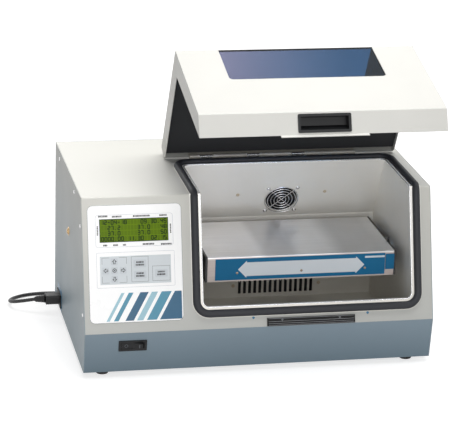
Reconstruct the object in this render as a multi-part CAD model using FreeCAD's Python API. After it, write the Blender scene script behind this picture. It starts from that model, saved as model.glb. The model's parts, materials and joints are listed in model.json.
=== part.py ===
import FreeCAD, Part
import math
import os

# Benchtop incubator with a hinged lid over a chamber and a turning platform.
# Millimetres, +Z up, bench at Z = 0, the front faces -Y, the control section is on the left (-X).
# The lid is modelled open, as it stands when the hinge springs hold it.

os.makedirs("parts", exist_ok=True)
V = FreeCAD.Vector

# Cabinet
cabinet_width = 680.0
cabinet_depth = 440.0  # from the nose line, where front and apron meet, to the rear face
body_height = 330.0  # from the underside of the base to the flat top
foot_height = 12.0
foot_radius = 13.5
foot_taper = 1.5  # how much narrower a foot is where it stands
foot_inset = 40.0
front_foot_inset = 28.0  # behind the apron's lower edge
nose_rise = 82.0  # height of the nose line above the underside of the base
shoulder_set = 70.0  # how far the top's front edge lies behind the nose line
apron_set = 12.5  # how far the apron's lower edge lies behind the nose line
cover_sheet = 1.2
base_sheet = 1.2
panel_sheet = 1.5
flange_depth = 14.0
cover_side_flange = 22.0
shoulder_radius = 4.0
inner_gap = 1.0  # between an inner sheet and the casing round it
cut_reach = 5.0  # how far a cutting body stands clear of the sheet it cuts

# Vents and fasteners of the casing
floor_vent_count = 8
floor_vent_pitch = 14.0
floor_vent_width = 5.0
floor_vent_length = 60.0
floor_vent_inset = 70.0  # from the left side
floor_vent_front = 90.0  # behind the nose line
rear_vent_count = 9
rear_vent_pitch = 9.0
rear_vent_width = 4.0
rear_vent_height = 60.0
rear_vent_rise = 70.0
rear_vent_left = 88.0  # first slot of the left group, from the left side
rear_vent_right = 36.0  # last slot of the right group, from the right side
screw_head_radius = 3.4
screw_crown_radius = 2.3
screw_head = 1.6
screw_sides = 8
side_screw_inset = 16.5
side_screw_rear = 66.0  # from the rear face
side_screw_front = 88.0  # behind the shoulder
side_screw_nose = 36.0  # up the front slope from the nose line
side_screw_shoulder = 54.0  # down the front slope from the shoulder
rear_screw_inset = 28.0
rear_screw_rise = 60.0
rear_screw_drop = 50.0

# Chamber and its mouth
control_section = 228.0  # from the left side to the mouth
mouth_side = 42.0  # from the mouth to the right side
mouth_bottom = 42.0  # up the front slope from the nose line
mouth_rear = 187.0  # from the mouth's rear edge to the rear face
mouth_radius = 12.0
mouth_spare = 96.0  # overlap of the front and top halves of a body that is folded over the shoulder
liner_sheet = 1.0
rim_width = 21.0
rim_sheet = 0.8
rim_seat = 0.5  # under the cover's inner face
lip_depth = 24.0
chamber_floor = 24.0  # above the underside of the base
chamber_rear = 125.0  # from the rear wall to the rear face
bend_rise = 199.0  # where the rear wall starts to lean forward, above the underside of the base
foam_thickness = 18.0
foam_gap = 0.3
foam_seat_gap = 0.5  # between the jacket and the casing
gasket_inset = 5.0
gasket_width = 15.0
gasket_height = 9.0
gasket_round = 3.5
gasket_crown_inset = 2.4
slot_count = 15
slot_pitch = 10.7
slot_width = 6.0
slot_height = 46.0
slot_offset = 5.0  # to the right of the mouth's middle
slot_rise = 32.0
shaft_hole_gap = 2.0  # round the platform's shafts where they pass a wall

# Fans: one moves the chamber air, one cools the outer heat sink
fan_size = 70.0
fan_depth = 15.0
fan_corner = 4.0
fan_duct_radius = 32.0
fan_hole_pitch = 60.0
fan_hub_radius = 14.0
fan_web = 2.5
fan_strut = 4.0
fan_tip_radius = 31.0
fan_blades = 7
fan_pin_radius = 1.5
blade_sheet = 1.2
blade_chord = 13.0
blade_angle = 50.0
hub_gap = 0.5
hub_cap_gap = 1.0
fan_offset = 6.0  # to the right of the mouth's middle
fan_climb = 45.0  # up the leaning wall from its bend
exhaust_rise = 105.0
guard_ring_count = 5
guard_sides = 20
guard_first_ring = 9.0
guard_last_ring = 34.0
guard_wire = 0.9
guard_rise = 1.7
guard_eye_radius = 3.6

# Thermal unit behind the rear wall
duct_sheet = 1.2
duct_width = 162.0
duct_depth = 35.0
duct_top_depth = 27.0
duct_climb = 92.0
duct_drop = 8.0  # below the slots
duct_bend_lift = 20.0
duct_flange = 20.0
duct_lap = 0.5
duct_side_room = 24.0  # foam cut away beside the duct
sink_width = 150.0
sink_height = 100.0
sink_base = 4.0
outer_sink_base = 6.0
sink_fin = 1.6
sink_fins = 13
sink_climb = 22.0  # above the lower ends of the slots
sink_frame = 5.0  # how far the sinks lap over the edge of the duct's window
inner_fin_depth = 22.0
outer_fin_depth = 32.0
module_size = 40.0
module_thickness = 4.2
module_gap = 6.0
module_count = 3

# Platform and its drive
platform_side_gap = 20.0  # from the mouth's sides
platform_rear_gap = 24.0  # from the rear wall
platform_depth = 211.0
platform_height = 50.0
platform_sheet = 1.5
platform_round = 2.0
plate_sheet = 0.8
plate_low_inset = 3.0
plate_high_inset = 4.0
plate_left_inset = 15.0
plate_block_width = 17.0
plate_block_gap = 1.0
plate_block_sheet = 2.2
plate_block_low = 10.0
plate_block_high = 2.0
plate_screw_radius = 2.6
plate_screw_head = 1.2
plate_screw_rise = 17.0
plate_screw_inset = 58.0
axis_rise = 172.0  # turning axis above the underside of the base
end_plate = 4.0
end_plate_inset = 0.5
end_boss = 14.0
end_boss_radius = 12.0
ear_reach = 10.0
ear_width = 8.0
ear_height = 30.0
ear_rise = 2.0
knob_radius = 3.5
knob_height = 7.0
knob_set = 58.0  # behind the platform's front
shaft_radius = 6.0
shaft_clearance = 0.05
shaft_end_gap = 1.0
shaft_tail = 5.0
shift_travel = 8.0  # the platform slides this far left to pick up the rocking drive
bearing_size = 32.0
bearing_depth = 12.0
partition_sheet = 1.2
partition_front = 3.0  # behind the folded edges at the nose
drive_pulley_radius = 30.0
motor_pulley_radius = 12.0
pulley_width = 12.0
pulley_flange = 2.5
pulley_flange_rise = 3.0
pulley_gap = 2.0
pulley_teeth_drive = 30
pulley_teeth_motor = 12
pulley_tooth = 1.0
belt_gap = 0.3
belt_thickness = 2.0
belt_side_gap = 1.0
motor_drop = 102.0
motor_radius = 29.0
motor_can_radius = 26.0
motor_length = 62.0
motor_tail_radius = 8.0
motor_tail = 5.0
motor_gap = 3.0  # between the bracket and the pulley
motor_shaft_radius = 3.0
motor_shaft_length = 14.0
motor_shaft_end = 4.0
motor_bore_depth = 12.0
gearbox_length = 34.0
bracket_sheet = 2.5
bearing_bracket_width = 80.0
bearing_bracket_top = 6.0
motor_bracket_width = 72.0
motor_bracket_top = 8.0
motor_bracket_foot = 50.0

# Controls on the front
panel_side = 11.0  # from the left side
panel_width = 179.0
panel_low = 20.0  # up the front slope from the nose line
panel_top = 15.7  # down the front slope from the shoulder
panel_corner = 10.0
panel_film = 0.6
display_inset = 22.5
display_width = 131.0
display_height = 44.0
display_drop = 26.0  # below the panel's upper edge
display_gap = 0.2
window_sheet = 2.0
display_frame_side = 8.0
display_frame_top = 6.0
display_frame_depth = 7.0
display_board_side = 3.0
display_board_top = 6.0
key_clearance = 0.3
key_seat = 0.05
key_travel = 0.5
key_rise = 1.4
key_corner = 1.5
key_size = 12.5
key_pitch = 16.5
key_pad_inset = 49.0
key_pad_drop = 123.0  # below the panel's upper edge, as the next ones
wide_key_width = 24.0
wide_key_height = 14.5
middle_key_inset = 97.5
right_key_inset = 138.0
timer_key_drop = 111.5
speed_key_drop = 132.5
run_key_drop = 131.0
board_sheet = 1.6
board_depth = 34.0
board_side = 8.0
board_height = 90.0
board_drop = 92.0  # below the panel's upper edge
standoff_radius = 3.0
standoff_inset = 6.0
chip_inset = 30.0
chip_rise = 20.0
chip_width = 30.0
chip_height = 20.0
chip_thickness = 6.0
relay_inset = 90.0
relay_rise = 10.0
relay_width = 30.0
relay_height = 50.0
relay_thickness = 12.0

# Rocker switch on the apron
switch_inset = 92.5  # from the left side to its middle
switch_rise = 55.5
switch_width = 54.0
switch_height = 22.0
switch_corner = 1.5
switch_rim = 3.0
switch_lip = 2.0
switch_depth = 16.0
switch_gap = 0.2
switch_wall = 1.8
switch_side_wall = 1.3
switch_floor = 2.0
pin_socket = 0.9
rocker_tilt = 8.0
rocker_clearance = 0.5
rocker_end_gap = 1.7
rocker_axis = -4.0  # out of the apron
rocker_pin = 1.5
rocker_pin_length = 1.2
rocker_middle = 1.4  # how far the middle of the rocker stands out of the apron
rocker_lobe = 5.0  # how far its ends stand out when level
rocker_edge = 1.0
rocker_belly = 6.5
rocker_belly_width = 12.0

# Inlet, lead and jack on the left side
inlet_rear = 79.0  # from the rear face
inlet_rise = 22.0
inlet_width = 50.0
inlet_height = 28.0
inlet_depth = 28.0
inlet_flange = 2.5
inlet_side_margin = 10.0
inlet_end_margin = 2.0
inlet_gap = 0.3
connector_width = 27.0
connector_height = 19.0
connector_length = 27.0
connector_corner = 5.0
relief_radius = 7.5
relief_wall = 1.2
lead_radius = 3.75
lead_lift = 0.15
coil_radius = 40.0
coil_turns_wide = 2
coil_turns_high = 3
coil_inset = 78.0  # from the left side to the coil's middle
coil_rear = 101.5  # from the inlet back to the near side of the coil
coil_lift = 0.1
plug_length = 36.0
plug_width = 27.0
plug_height = 23.0
plug_corner = 6.0
plug_neck_length = 16.0
plug_neck_radius = 8.0
blade_pitch = 12.6
blade_thickness = 1.6
blade_width = 6.0
blade_length = 16.0
earth_radius = 2.4
earth_length = 18.0
earth_rise = 6.0
jack_y = 233.0  # behind the nose line
jack_rise = 209.0
jack_radius = 6.5
jack_flange = 2.5
jack_flange_sheet = 2.0
jack_length = 16.0
jack_bore = 2.0
jack_bore_depth = 10.0
jack_clearance = 0.15

# Latch strip on the front, under the mouth
latch_offset = 4.0  # to the right of the mouth's middle
latch_width = 172.0
latch_low = 0.8
latch_height = 15.5
latch_rise = 4.6
latch_grooves = 3
groove_pitch = 3.0
groove_width = 1.5
groove_depth = 1.6
groove_start = 2.2
groove_end = 4.0

# Lid
lid_side = 30.0  # past the mouth's sides
lid_thickness = 41.5
lid_sheet = 1.2
lid_gap = 1.0
lid_edge_gap = 6.0
lid_rear_gap = 2.0  # between the lid and the hinge's knuckles
lip_low = 12.0  # lower end of the closed lid, up the slope from the nose line
lip_high = 36.6  # where the lip starts, up the slope from the nose line
lid_round = 3.0
lid_opening = 61.0
lid_foam_seat = 0.6
lid_foam_rear_gap = 3.0
lid_foam_lip = 10.0
foam_lip_share = 0.8  # of the lip that is lined with foam
window_width = 304.0
window_down = 122.0
window_back = 130.0
window_corner = 9.0
pane_sheet = 4.0
pane_margin = 9.0
pane_gap = 0.3
keeper_width = 167.0
keeper_gap = 0.6
keeper_drop = 6.5
keeper_lap = 3.0
handle_width = 101.0
handle_height = 35.0
handle_corner = 3.0
handle_lip = 1.8
handle_rim = 3.0
handle_wall = 2.0
handle_depth = 17.0
handle_gap = 0.2

# Hinge
hinge_rise = 0.3  # between the knuckles and the flat top
hinge_set = 41.3  # behind the mouth's rear edge
hinge_inset = 20.0  # from the mouth's left side
hinge_length = 339.0
knuckle_radius = 4.0
pin_radius = 2.0
pin_clearance = 0.05
knuckle_gap = 0.3
knuckle_web = 1.8
leaf_sheet = 1.2
leaf_width = 15.0
leaf_lap = 0.6
leaf_top_gap = 8.0
hinge_rear = 6.2
rear_edge_gap = 4.9
rear_leaf_drop = 4.5
spring_shares = (0.1, 0.382, 0.652)  # of the hinge's length
spring_length = 26.0
spring_wall_gap = 0.6
spring_pin_gap = 0.2

# Power supply
supply_width = 96.0
supply_depth = 160.0
supply_height = 45.0
supply_gap = 8.0
supply_rear = 30.0
supply_slots = 8
supply_slot_pitch = 16.0
supply_slot_width = 6.0
supply_slot_depth = 4.0
supply_slot_low = 12.0
supply_slot_high = 34.0

# Values worked out from the driving dimensions
front_length = math.hypot(shoulder_set, body_height - nose_rise)
front_tilt = math.degrees(math.atan2(shoulder_set, body_height - nose_rise))
apron_turn = 90.0 + math.degrees(math.atan2(apron_set, nose_rise))
front_turn = 90.0 - front_tilt
slope = (math.sin(math.radians(front_tilt)), math.cos(math.radians(front_tilt)))
fold_share = math.tan(math.radians((90.0 - front_tilt) / 2))
base_z = foot_height
nose_z = base_z + nose_rise
top_z = base_z + body_height
half_width = cabinet_width / 2
inner_half = half_width - panel_sheet
mouth_back = cabinet_depth - shoulder_set - mouth_rear
hinge_y = shoulder_set + mouth_back + hinge_set
hinge_z = top_z + knuckle_radius + hinge_rise


def open_point(point):
    # Where a point of the closed lid lies when the lid stands open; both are (y, z) from the nose line.
    turn = math.radians(lid_opening)
    dy = point[0] - hinge_y
    dz = point[1] - hinge_z
    y = hinge_y + dy * math.cos(turn) + dz * math.sin(turn)
    z = hinge_z - dy * math.sin(turn) + dz * math.cos(turn)
    return (y, z)


def slope_point(climb, rise):
    # A point at climb up the front slope and rise out of it, with y counted from the nose line.
    y = climb * slope[0] - rise * slope[1]
    z = nose_z + climb * slope[1] + rise * slope[0]
    return (y, z)


# The origin lies under the middle of the object as it stands with its lid open.
lip_end = open_point(slope_point(lip_low, lid_edge_gap))
lip_corner = open_point(slope_point(lip_high, lid_thickness))
nose_y = -(cabinet_depth + min(lip_end[0], lip_corner[0])) / 2
rear_y = nose_y + cabinet_depth
inner_rear_y = rear_y - panel_sheet
shoulder_y = nose_y + shoulder_set
hinge_axis_y = nose_y + hinge_y
mouth_left = -half_width + control_section
mouth_right = half_width - mouth_side
mouth_width = mouth_right - mouth_left
mouth_center = (mouth_left + mouth_right) / 2
mouth_rear_y = shoulder_y + mouth_back
chamber_rear_y = rear_y - chamber_rear
bend_z = base_z + bend_rise
floor_z = base_z + chamber_floor
wall_lean = math.degrees(math.atan2(chamber_rear_y - mouth_rear_y, top_z - bend_z))
wall_turn = 90.0 + wall_lean
liner_left = mouth_left - liner_sheet
liner_right = mouth_right + liner_sheet
partition_x = liner_left - foam_gap - foam_thickness - 2 * partition_sheet
bracket_x = liner_right + foam_gap + foam_thickness + partition_sheet
fan_center = mouth_center + fan_offset
slot_center = mouth_center + slot_offset
slot_low = base_z + slot_rise
sink_low = slot_low + sink_climb
duct_back_y = chamber_rear_y + liner_sheet + duct_depth - duct_sheet
platform_width = mouth_width - 2 * platform_side_gap
platform_left = mouth_left + platform_side_gap
platform_right = mouth_right - platform_side_gap
axis_y = chamber_rear_y - platform_rear_gap - platform_depth / 2
axis_z = base_z + axis_rise
platform_front_y = axis_y - platform_depth / 2
platform_low = axis_z - platform_height / 2
platform_high = axis_z + platform_height / 2
pulley_x = partition_x - bearing_depth - pulley_width - pulley_flange - pulley_gap
motor_face_x = pulley_x - pulley_flange - motor_gap
motor_z = axis_z - motor_drop
panel_left = -half_width + panel_side
panel_right = panel_left + panel_width
panel_high = front_length - panel_top
display_left = panel_left + display_inset
display_right = display_left + display_width
display_high = panel_high - display_drop
display_low = display_high - display_height
switch_center = -half_width + switch_inset
inlet_y = rear_y - inlet_rear
inlet_z = base_z + inlet_rise
coil_x = -half_width + coil_inset
coil_y = inlet_y + coil_rear + coil_radius
latch_left = mouth_center + latch_offset - latch_width / 2
lid_left = mouth_left - lid_side
lid_right = mouth_right + lid_side
hinge_left = mouth_left + hinge_inset
hinge_right = hinge_left + hinge_length
spring_centers = [hinge_left + share * hinge_length for share in spring_shares]


def front_at(climb, rise):
    y, z = slope_point(climb, rise)
    return (nose_y + y, z)


def on_plane(shape, y, z, turn):
    # Sets a shape drawn in local x, up the plane, out of the plane on a plane that runs along x.
    moved = shape.copy()
    place = FreeCAD.Placement(V(0, y, z), FreeCAD.Rotation(V(1, 0, 0), turn))
    moved.Placement = place.multiply(shape.Placement)
    return moved


def on_front(shape):
    return on_plane(shape, nose_y, nose_z, front_turn)


def on_apron(shape):
    return on_plane(shape, nose_y + apron_set, base_z, apron_turn)


def on_wall(shape):
    # The leaning rear wall of the chamber, from its bend up.
    return on_plane(shape, chamber_rear_y, bend_z, wall_turn)


def on_rear(shape):
    # The inner face of the rear panel, out of it being forward.
    return on_plane(shape, inner_rear_y, base_z, 90)


def opened(shape):
    # Turns a piece of the closed lid to where it stands when the lid is open.
    moved = shape.copy()
    moved.rotate(V(0, hinge_axis_y, hinge_z), V(1, 0, 0), -lid_opening)
    return moved


def prism(outline, low_x, high_x):
    corners = [V(low_x, y, z) for y, z in outline]
    wire = Part.makePolygon(corners + [corners[0]])
    return Part.Face(wire).extrude(V(high_x - low_x, 0, 0))


def box(low, high):
    return Part.makeBox(high[0] - low[0], high[1] - low[1], high[2] - low[2], V(*low))


def rod(radius, start, end):
    axis = V(*end) - V(*start)
    return Part.makeCylinder(radius, axis.Length, V(*start), axis)


def tube(outer, inner, start, end):
    return rod(outer, start, end).cut(rod(inner, start, end))


def round_plate(low, high, corner):
    # A box whose four upright edges are rounded.
    plate = box(low, high)
    upright = [edge for edge in plate.Edges if abs(edge.tangentAt(edge.FirstParameter).z) > 0.9]
    return plate.makeFillet(corner, upright)


def moved_line(points, distance, closed):
    # Every side of the line moved to its left by distance, with mitred corners.
    count = len(points)
    moved = []
    for index, point in enumerate(points):
        normals = []
        if closed or index > 0:
            normals.append(left_normal(points[index - 1], point))
        if closed or index < count - 1:
            normals.append(left_normal(point, points[(index + 1) % count]))
        first = normals[0]
        last = normals[-1]
        scale = distance / (1 + first[0] * last[0] + first[1] * last[1])
        moved.append((point[0] + (first[0] + last[0]) * scale, point[1] + (first[1] + last[1]) * scale))
    return moved


def left_normal(start, end):
    dy = end[0] - start[0]
    dz = end[1] - start[1]
    length = math.hypot(dy, dz)
    return (-dz / length, dy / length)


def folded_sheet(points, thickness, low_x, high_x):
    # Sheet metal folded along a line of (y, z) points; a positive thickness lies to the line's left.
    return prism(points + moved_line(points, thickness, False)[::-1], low_x, high_x)


def fillet_along_x(shape, radius, places, reach=0.6):
    # Rounds the edges that run along x through the given (y, z) places.
    chosen = []
    for edge in shape.Edges:
        start = edge.Vertexes[0].Point
        end = edge.Vertexes[-1].Point
        if abs(start.y - end.y) > 0.01 or abs(start.z - end.z) > 0.01:
            continue
        if any(math.hypot(start.y - y, start.z - z) < reach for y, z in places):
            chosen.append(edge)
    return shape.makeFillet(radius, chosen)


def fuse_all(shapes):
    return shapes[0].multiFuse(shapes[1:]).removeSplitter() if len(shapes) > 1 else shapes[0]


def group(shapes):
    return Part.makeCompound(shapes)


def save(name, shape):
    shape.exportStep("parts/" + name + ".step")


def shoulder_side(front):
    # Everything in front of the mitre plane through the shoulder, or everything behind it.
    up = (-slope[1], slope[0] + 1)
    length = math.hypot(*up)
    reach = 2 * cabinet_depth
    high = (shoulder_y + up[0] / length * reach, top_z + up[1] / length * reach)
    low = (shoulder_y - up[0] / length * reach, top_z - up[1] / length * reach)
    sideways = -reach if front else reach
    outline = [low, high, (high[0] + sideways, high[1]), (low[0] + sideways, low[1])]
    return prism(outline, -cabinet_width, cabinet_width)


def mouth_block(grow, low, high):
    # The mouth's outline grown outward, as a block from low to high above the front slope and the top.
    corner = mouth_radius + grow
    left = mouth_left - grow
    right = mouth_right + grow
    front = round_plate((left, mouth_bottom - grow, low), (right, front_length + mouth_spare, high), corner)
    back = round_plate((left, -mouth_spare, low), (right, mouth_back + grow, high), corner)
    back.translate(V(0, shoulder_y, top_z))
    return folded(on_front(front), back)


def folded(front, back):
    # Two halves that meet in the mitre plane through the shoulder.
    return front.common(shoulder_side(True)).fuse(back.common(shoulder_side(False))).removeSplitter()


def mouth_ring(inner, outer, low, high):
    return mouth_block(outer, low, high).cut(mouth_block(inner, low - cut_reach, high + cut_reach))


def casing_outline(inset):
    outline = [
        (nose_y + apron_set, base_z),
        (nose_y, nose_z),
        (shoulder_y, top_z),
        (rear_y, top_z),
        (rear_y, base_z),
    ]
    return moved_line(outline, -inset, True)


def chamber_outline(grow):
    # Section through the chamber, from the front of its floor round by the rear wall to the mouth.
    lip_end = front_at(mouth_bottom, -lip_depth)
    outline = [
        (lip_end[0], floor_z),
        lip_end,
        front_at(mouth_bottom, 0),
        (shoulder_y, top_z),
        (mouth_rear_y, top_z),
        (chamber_rear_y, bend_z),
        (chamber_rear_y, floor_z),
    ]
    return moved_line(outline, grow, True)


# Casing

def base_tray():
    line = [
        (nose_y + flange_depth, nose_z),
        (nose_y, nose_z),
        (nose_y + apron_set, base_z),
        (inner_rear_y, base_z),
        (inner_rear_y, base_z + flange_depth),
    ]
    tray = folded_sheet(line, base_sheet, -inner_half, inner_half)
    half_x = switch_width / 2 - switch_rim
    half_y = switch_height / 2 - switch_rim
    hole = box((switch_center - half_x, switch_rise - half_y, -cut_reach),
               (switch_center + half_x, switch_rise + half_y, cut_reach))
    tray = tray.cut(on_apron(hole))
    front = nose_y + floor_vent_front
    vents = []
    for index in range(floor_vent_count):
        x = -inner_half + floor_vent_inset + index * floor_vent_pitch
        vents.append(box((x, front, base_z - cut_reach),
                         (x + floor_vent_width, front + floor_vent_length, base_z + cut_reach)))
    return tray.cut(group(vents))


def top_front_cover():
    line = [
        (nose_y + flange_depth, nose_z),
        (nose_y, nose_z),
        (shoulder_y, top_z),
        (inner_rear_y, top_z),
        (inner_rear_y, top_z - flange_depth),
    ]
    cover = folded_sheet(line, -cover_sheet, -inner_half, inner_half)
    cover = fillet_along_x(cover, shoulder_radius, [(shoulder_y, top_z)])
    middle = moved_line([(nose_y, nose_z), (shoulder_y, top_z), (rear_y, top_z)], -cover_sheet / 2, False)
    flange_line = [
        front_at(flange_depth, -cover_sheet / 2),
        middle[1],
        (inner_rear_y - cover_sheet, top_z - cover_sheet / 2),
    ]
    flanges = []
    for low_x in (-inner_half, inner_half - cover_sheet):
        flanges.append(folded_sheet(flange_line, -cover_side_flange, low_x, low_x + cover_sheet))
    cover = fuse_all([cover] + flanges)
    cover = cover.cut(mouth_block(liner_sheet + inner_gap, -cut_reach, cut_reach))
    hole = box((display_left, display_low, -cut_reach), (display_right, display_high, cut_reach))
    return cover.cut(on_front(hole))


def side_panel(side):
    outer = side * half_width
    inner = side * inner_half
    panel = prism(casing_outline(0), min(outer, inner), max(outer, inner))
    if side > 0:
        return panel
    left = outer - cut_reach
    right = outer + cut_reach
    jack_at = (nose_y + jack_y, base_z + jack_rise)
    half_y = inlet_width / 2 - inlet_side_margin
    half_z = inlet_height / 2 - inlet_end_margin
    jack_hole = rod(jack_radius + jack_clearance, (left, *jack_at), (right, *jack_at))
    inlet_hole = box((left, inlet_y - half_y, inlet_z - half_z), (right, inlet_y + half_y, inlet_z + half_z))
    return panel.cut(group([jack_hole, inlet_hole]))


def side_screw_places():
    upper = top_z - side_screw_inset
    return [
        (rear_y - side_screw_rear, upper),
        (shoulder_y + side_screw_front, upper),
        front_at(front_length - side_screw_shoulder, -side_screw_inset),
        front_at(side_screw_nose, -side_screw_inset),
    ]


def rear_screw_places():
    places = []
    for x in (-half_width + rear_screw_inset, half_width - rear_screw_inset):
        places.append((x, base_z + rear_screw_rise))
        places.append((x, top_z - rear_screw_drop))
    return places


def rear_panel():
    panel = box((-inner_half, inner_rear_y, base_z), (inner_half, rear_y, top_z))
    front = inner_rear_y - cut_reach
    back = rear_y + cut_reach
    exhaust_z = base_z + exhaust_rise
    holes = [rod(fan_duct_radius, (fan_center, front, exhaust_z), (fan_center, back, exhaust_z))]
    row_length = (rear_vent_count - 1) * rear_vent_pitch + rear_vent_width
    low = base_z + rear_vent_rise
    for row_x in (-half_width + rear_vent_left, half_width - rear_vent_right - row_length):
        for index in range(rear_vent_count):
            x = row_x + index * rear_vent_pitch
            holes.append(box((x, front, low), (x + rear_vent_width, back, low + rear_vent_height)))
    return panel.cut(group(holes))


def pan_screw(base, direction):
    # A tapered head that sits on the sheet, with a few flat sides; the round one is drawn for the picture.
    low = regular_outline(screw_sides, screw_head_radius, base, direction)
    high = regular_outline(screw_sides, screw_crown_radius, base + direction * screw_head, direction)
    return Part.makeLoft([low, high], True, True)


def regular_outline(sides, radius, center, direction):
    # A polygon that stands square to a direction.
    turn = FreeCAD.Rotation(V(0, 0, 1), direction)
    corners = []
    for index in range(sides):
        angle = 2 * math.pi * (index + 0.5) / sides
        corners.append(center + turn.multVec(V(radius * math.cos(angle), radius * math.sin(angle), 0)))
    return Part.makePolygon(corners + [corners[0]])


def case_screws():
    screws = []
    for side in (-1, 1):
        for y, z in side_screw_places():
            screws.append(pan_screw(V(side * half_width, y, z), V(side, 0, 0)))
    for x, z in rear_screw_places():
        screws.append(pan_screw(V(x, rear_y, z), V(0, 1, 0)))
    return group(screws)


def rubber_feet():
    feet = []
    for x in (-half_width + foot_inset, half_width - foot_inset):
        for y in (nose_y + apron_set + front_foot_inset, rear_y - foot_inset):
            feet.append(Part.makeCone(foot_radius - foot_taper, foot_radius, foot_height, V(x, y, 0)))
    return group(feet)


def partition_wall():
    front = nose_y + flange_depth + partition_front
    under = cover_sheet + inner_gap
    climb = (flange_depth + partition_front - under * slope[1]) / slope[0]
    back = inner_rear_y - flange_depth
    floor = base_z + base_sheet
    outline = [
        (front, floor),
        (front, front_at(climb, -under)[1]),
        front_at(front_length - under * fold_share, -under),
        (back, top_z - under),
        (back, floor),
    ]
    wall = prism(outline, partition_x, partition_x + partition_sheet)
    foot = box((partition_x - flange_depth, front, floor), (partition_x, back, floor + partition_sheet))
    return wall.fuse(foot).removeSplitter().cut(shaft_hole(partition_x))


def shaft_hole(x):
    # Room for the platform's shaft through a wall at x.
    radius = shaft_radius + shaft_hole_gap
    return rod(radius, (x - cut_reach, axis_y, axis_z), (x + cut_reach, axis_y, axis_z))


# Chamber

def slot_boxes():
    slots = []
    front = chamber_rear_y - cut_reach
    back = chamber_rear_y + cut_reach
    for index in range(slot_count):
        x = slot_center + (index - (slot_count - 1) / 2) * slot_pitch
        slots.append(box((x - slot_width / 2, front, slot_low),
                         (x + slot_width / 2, back, slot_low + slot_height)))
    return slots


def chamber_liner():
    shell = prism(chamber_outline(liner_sheet), liner_left, liner_right)
    hollow = prism(chamber_outline(0), mouth_left, mouth_right)
    above = mouth_block(0, 0, lip_depth)
    shell = shell.cut(hollow).cut(above).common(prism(casing_outline(0), -half_width, half_width))
    shell = shell.cut(mouth_ring(liner_sheet, rim_width + cover_side_flange, -cover_sheet - rim_seat, 0))
    rim = mouth_ring(0, rim_width, 0, rim_sheet)
    shell = shell.fuse(rim).removeSplitter()
    fan_hole = rod(fan_duct_radius, (fan_center, fan_climb, -cut_reach), (fan_center, fan_climb, cut_reach))
    holes = [on_wall(fan_hole), shaft_hole(liner_left), shaft_hole(liner_right)]
    return shell.cut(group(holes + slot_boxes()))


def insulation_jacket():
    near = liner_sheet + foam_gap
    foam_left = liner_left - foam_gap - foam_thickness
    foam_right = liner_right + foam_gap + foam_thickness
    outer = prism(chamber_outline(near + foam_thickness), foam_left, foam_right)
    inner = prism(chamber_outline(near), liner_left - foam_gap, liner_right + foam_gap)
    limit = prism(casing_outline(cover_sheet + foam_seat_gap), -half_width, half_width)
    jacket = outer.cut(inner).common(limit)
    nose_flanges = box((-half_width, nose_y, nose_z - 2 * base_sheet),
                       (half_width, nose_y + flange_depth + inner_gap, nose_z + 2 * cover_sheet))
    shaft = rod(shaft_radius + shaft_hole_gap, (-half_width, axis_y, axis_z), (half_width, axis_y, axis_z))
    half_room = duct_width / 2 + duct_side_room
    duct = prism(duct_outline(foam_gap), fan_center - half_room, fan_center + half_room)
    return jacket.cut(group([nose_flanges, shaft])).cut(duct)


def opening_gasket():
    inner = gasket_inset
    outer = gasket_inset + gasket_width
    ring = mouth_ring(inner, outer, rim_sheet, gasket_height - gasket_round)
    crown = mouth_ring(inner + gasket_crown_inset, outer - gasket_crown_inset,
                       gasket_height - gasket_round, gasket_height)
    return ring.fuse(crown)


# Air handling

def fan_frame():
    # Square frame with a round duct, four struts and a bearing hub; it lies in local x, y from z 0 up.
    half = fan_size / 2
    frame = round_plate((-half, -half, 0), (half, half, fan_depth), fan_corner)
    frame = frame.cut(Part.makeCylinder(fan_duct_radius, fan_depth))
    hub = Part.makeCylinder(fan_hub_radius, fan_web)
    struts = []
    for turn in range(4):
        strut = box((0, -fan_strut / 2, 0), (half, fan_strut / 2, fan_web))
        strut.rotate(V(0, 0, 0), V(0, 0, 1), 90 * turn)
        struts.append(strut)
    frame = fuse_all([frame, hub] + struts)
    return frame.cut(Part.makeCylinder(fan_pin_radius + shaft_clearance, fan_depth))


def fan_impeller():
    # Hub cup with slanted blades and the pin that turns in the frame's hub.
    low = fan_web + hub_gap
    high = fan_depth - hub_cap_gap
    hub = Part.makeCylinder(fan_hub_radius - hub_gap, high - low, V(0, 0, low))
    pin = Part.makeCylinder(fan_pin_radius, low, V(0, 0, 0))
    blades = []
    for index in range(fan_blades):
        blade = box((0, -blade_sheet / 2, -blade_chord / 2),
                    (fan_tip_radius, blade_sheet / 2, blade_chord / 2))
        blade.rotate(V(0, 0, 0), V(1, 0, 0), blade_angle)
        blade.translate(V(0, 0, (low + high) / 2))
        blade.rotate(V(0, 0, 0), V(0, 0, 1), index * 360 / fan_blades)
        blades.append(blade)
    return fuse_all([hub, pin] + blades)


def fan_guard():
    # Concentric many-sided rings on two crossed wires, with four eyes at the fan's screws.
    parts = []
    pitch = (guard_last_ring - guard_first_ring) / (guard_ring_count - 1)
    up = V(0, 0, 1)
    base = up * guard_rise
    run = up * 2 * guard_wire
    for index in range(guard_ring_count):
        radius = guard_first_ring + index * pitch
        outer = Part.Face(regular_outline(guard_sides, radius + guard_wire, base, up)).extrude(run)
        inner = Part.Face(regular_outline(guard_sides, radius - guard_wire, base, up)).extrude(run)
        parts.append(outer.cut(inner))
    reach = fan_hole_pitch / math.sqrt(2)
    for turn in (45, -45):
        wire = box((-reach, -guard_wire, guard_rise - guard_wire),
                   (reach, guard_wire, guard_rise + guard_wire / 2))
        wire.rotate(V(0, 0, 0), V(0, 0, 1), turn)
        parts.append(wire)
    for x in (-1, 1):
        for y in (-1, 1):
            center = V(x * fan_hole_pitch / 2, y * fan_hole_pitch / 2, 0)
            eye = Part.Face(regular_outline(screw_sides, guard_eye_radius, center, up))
            parts.append(eye.extrude(up * (guard_rise + guard_wire)))
    return fuse_all(parts)


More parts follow.
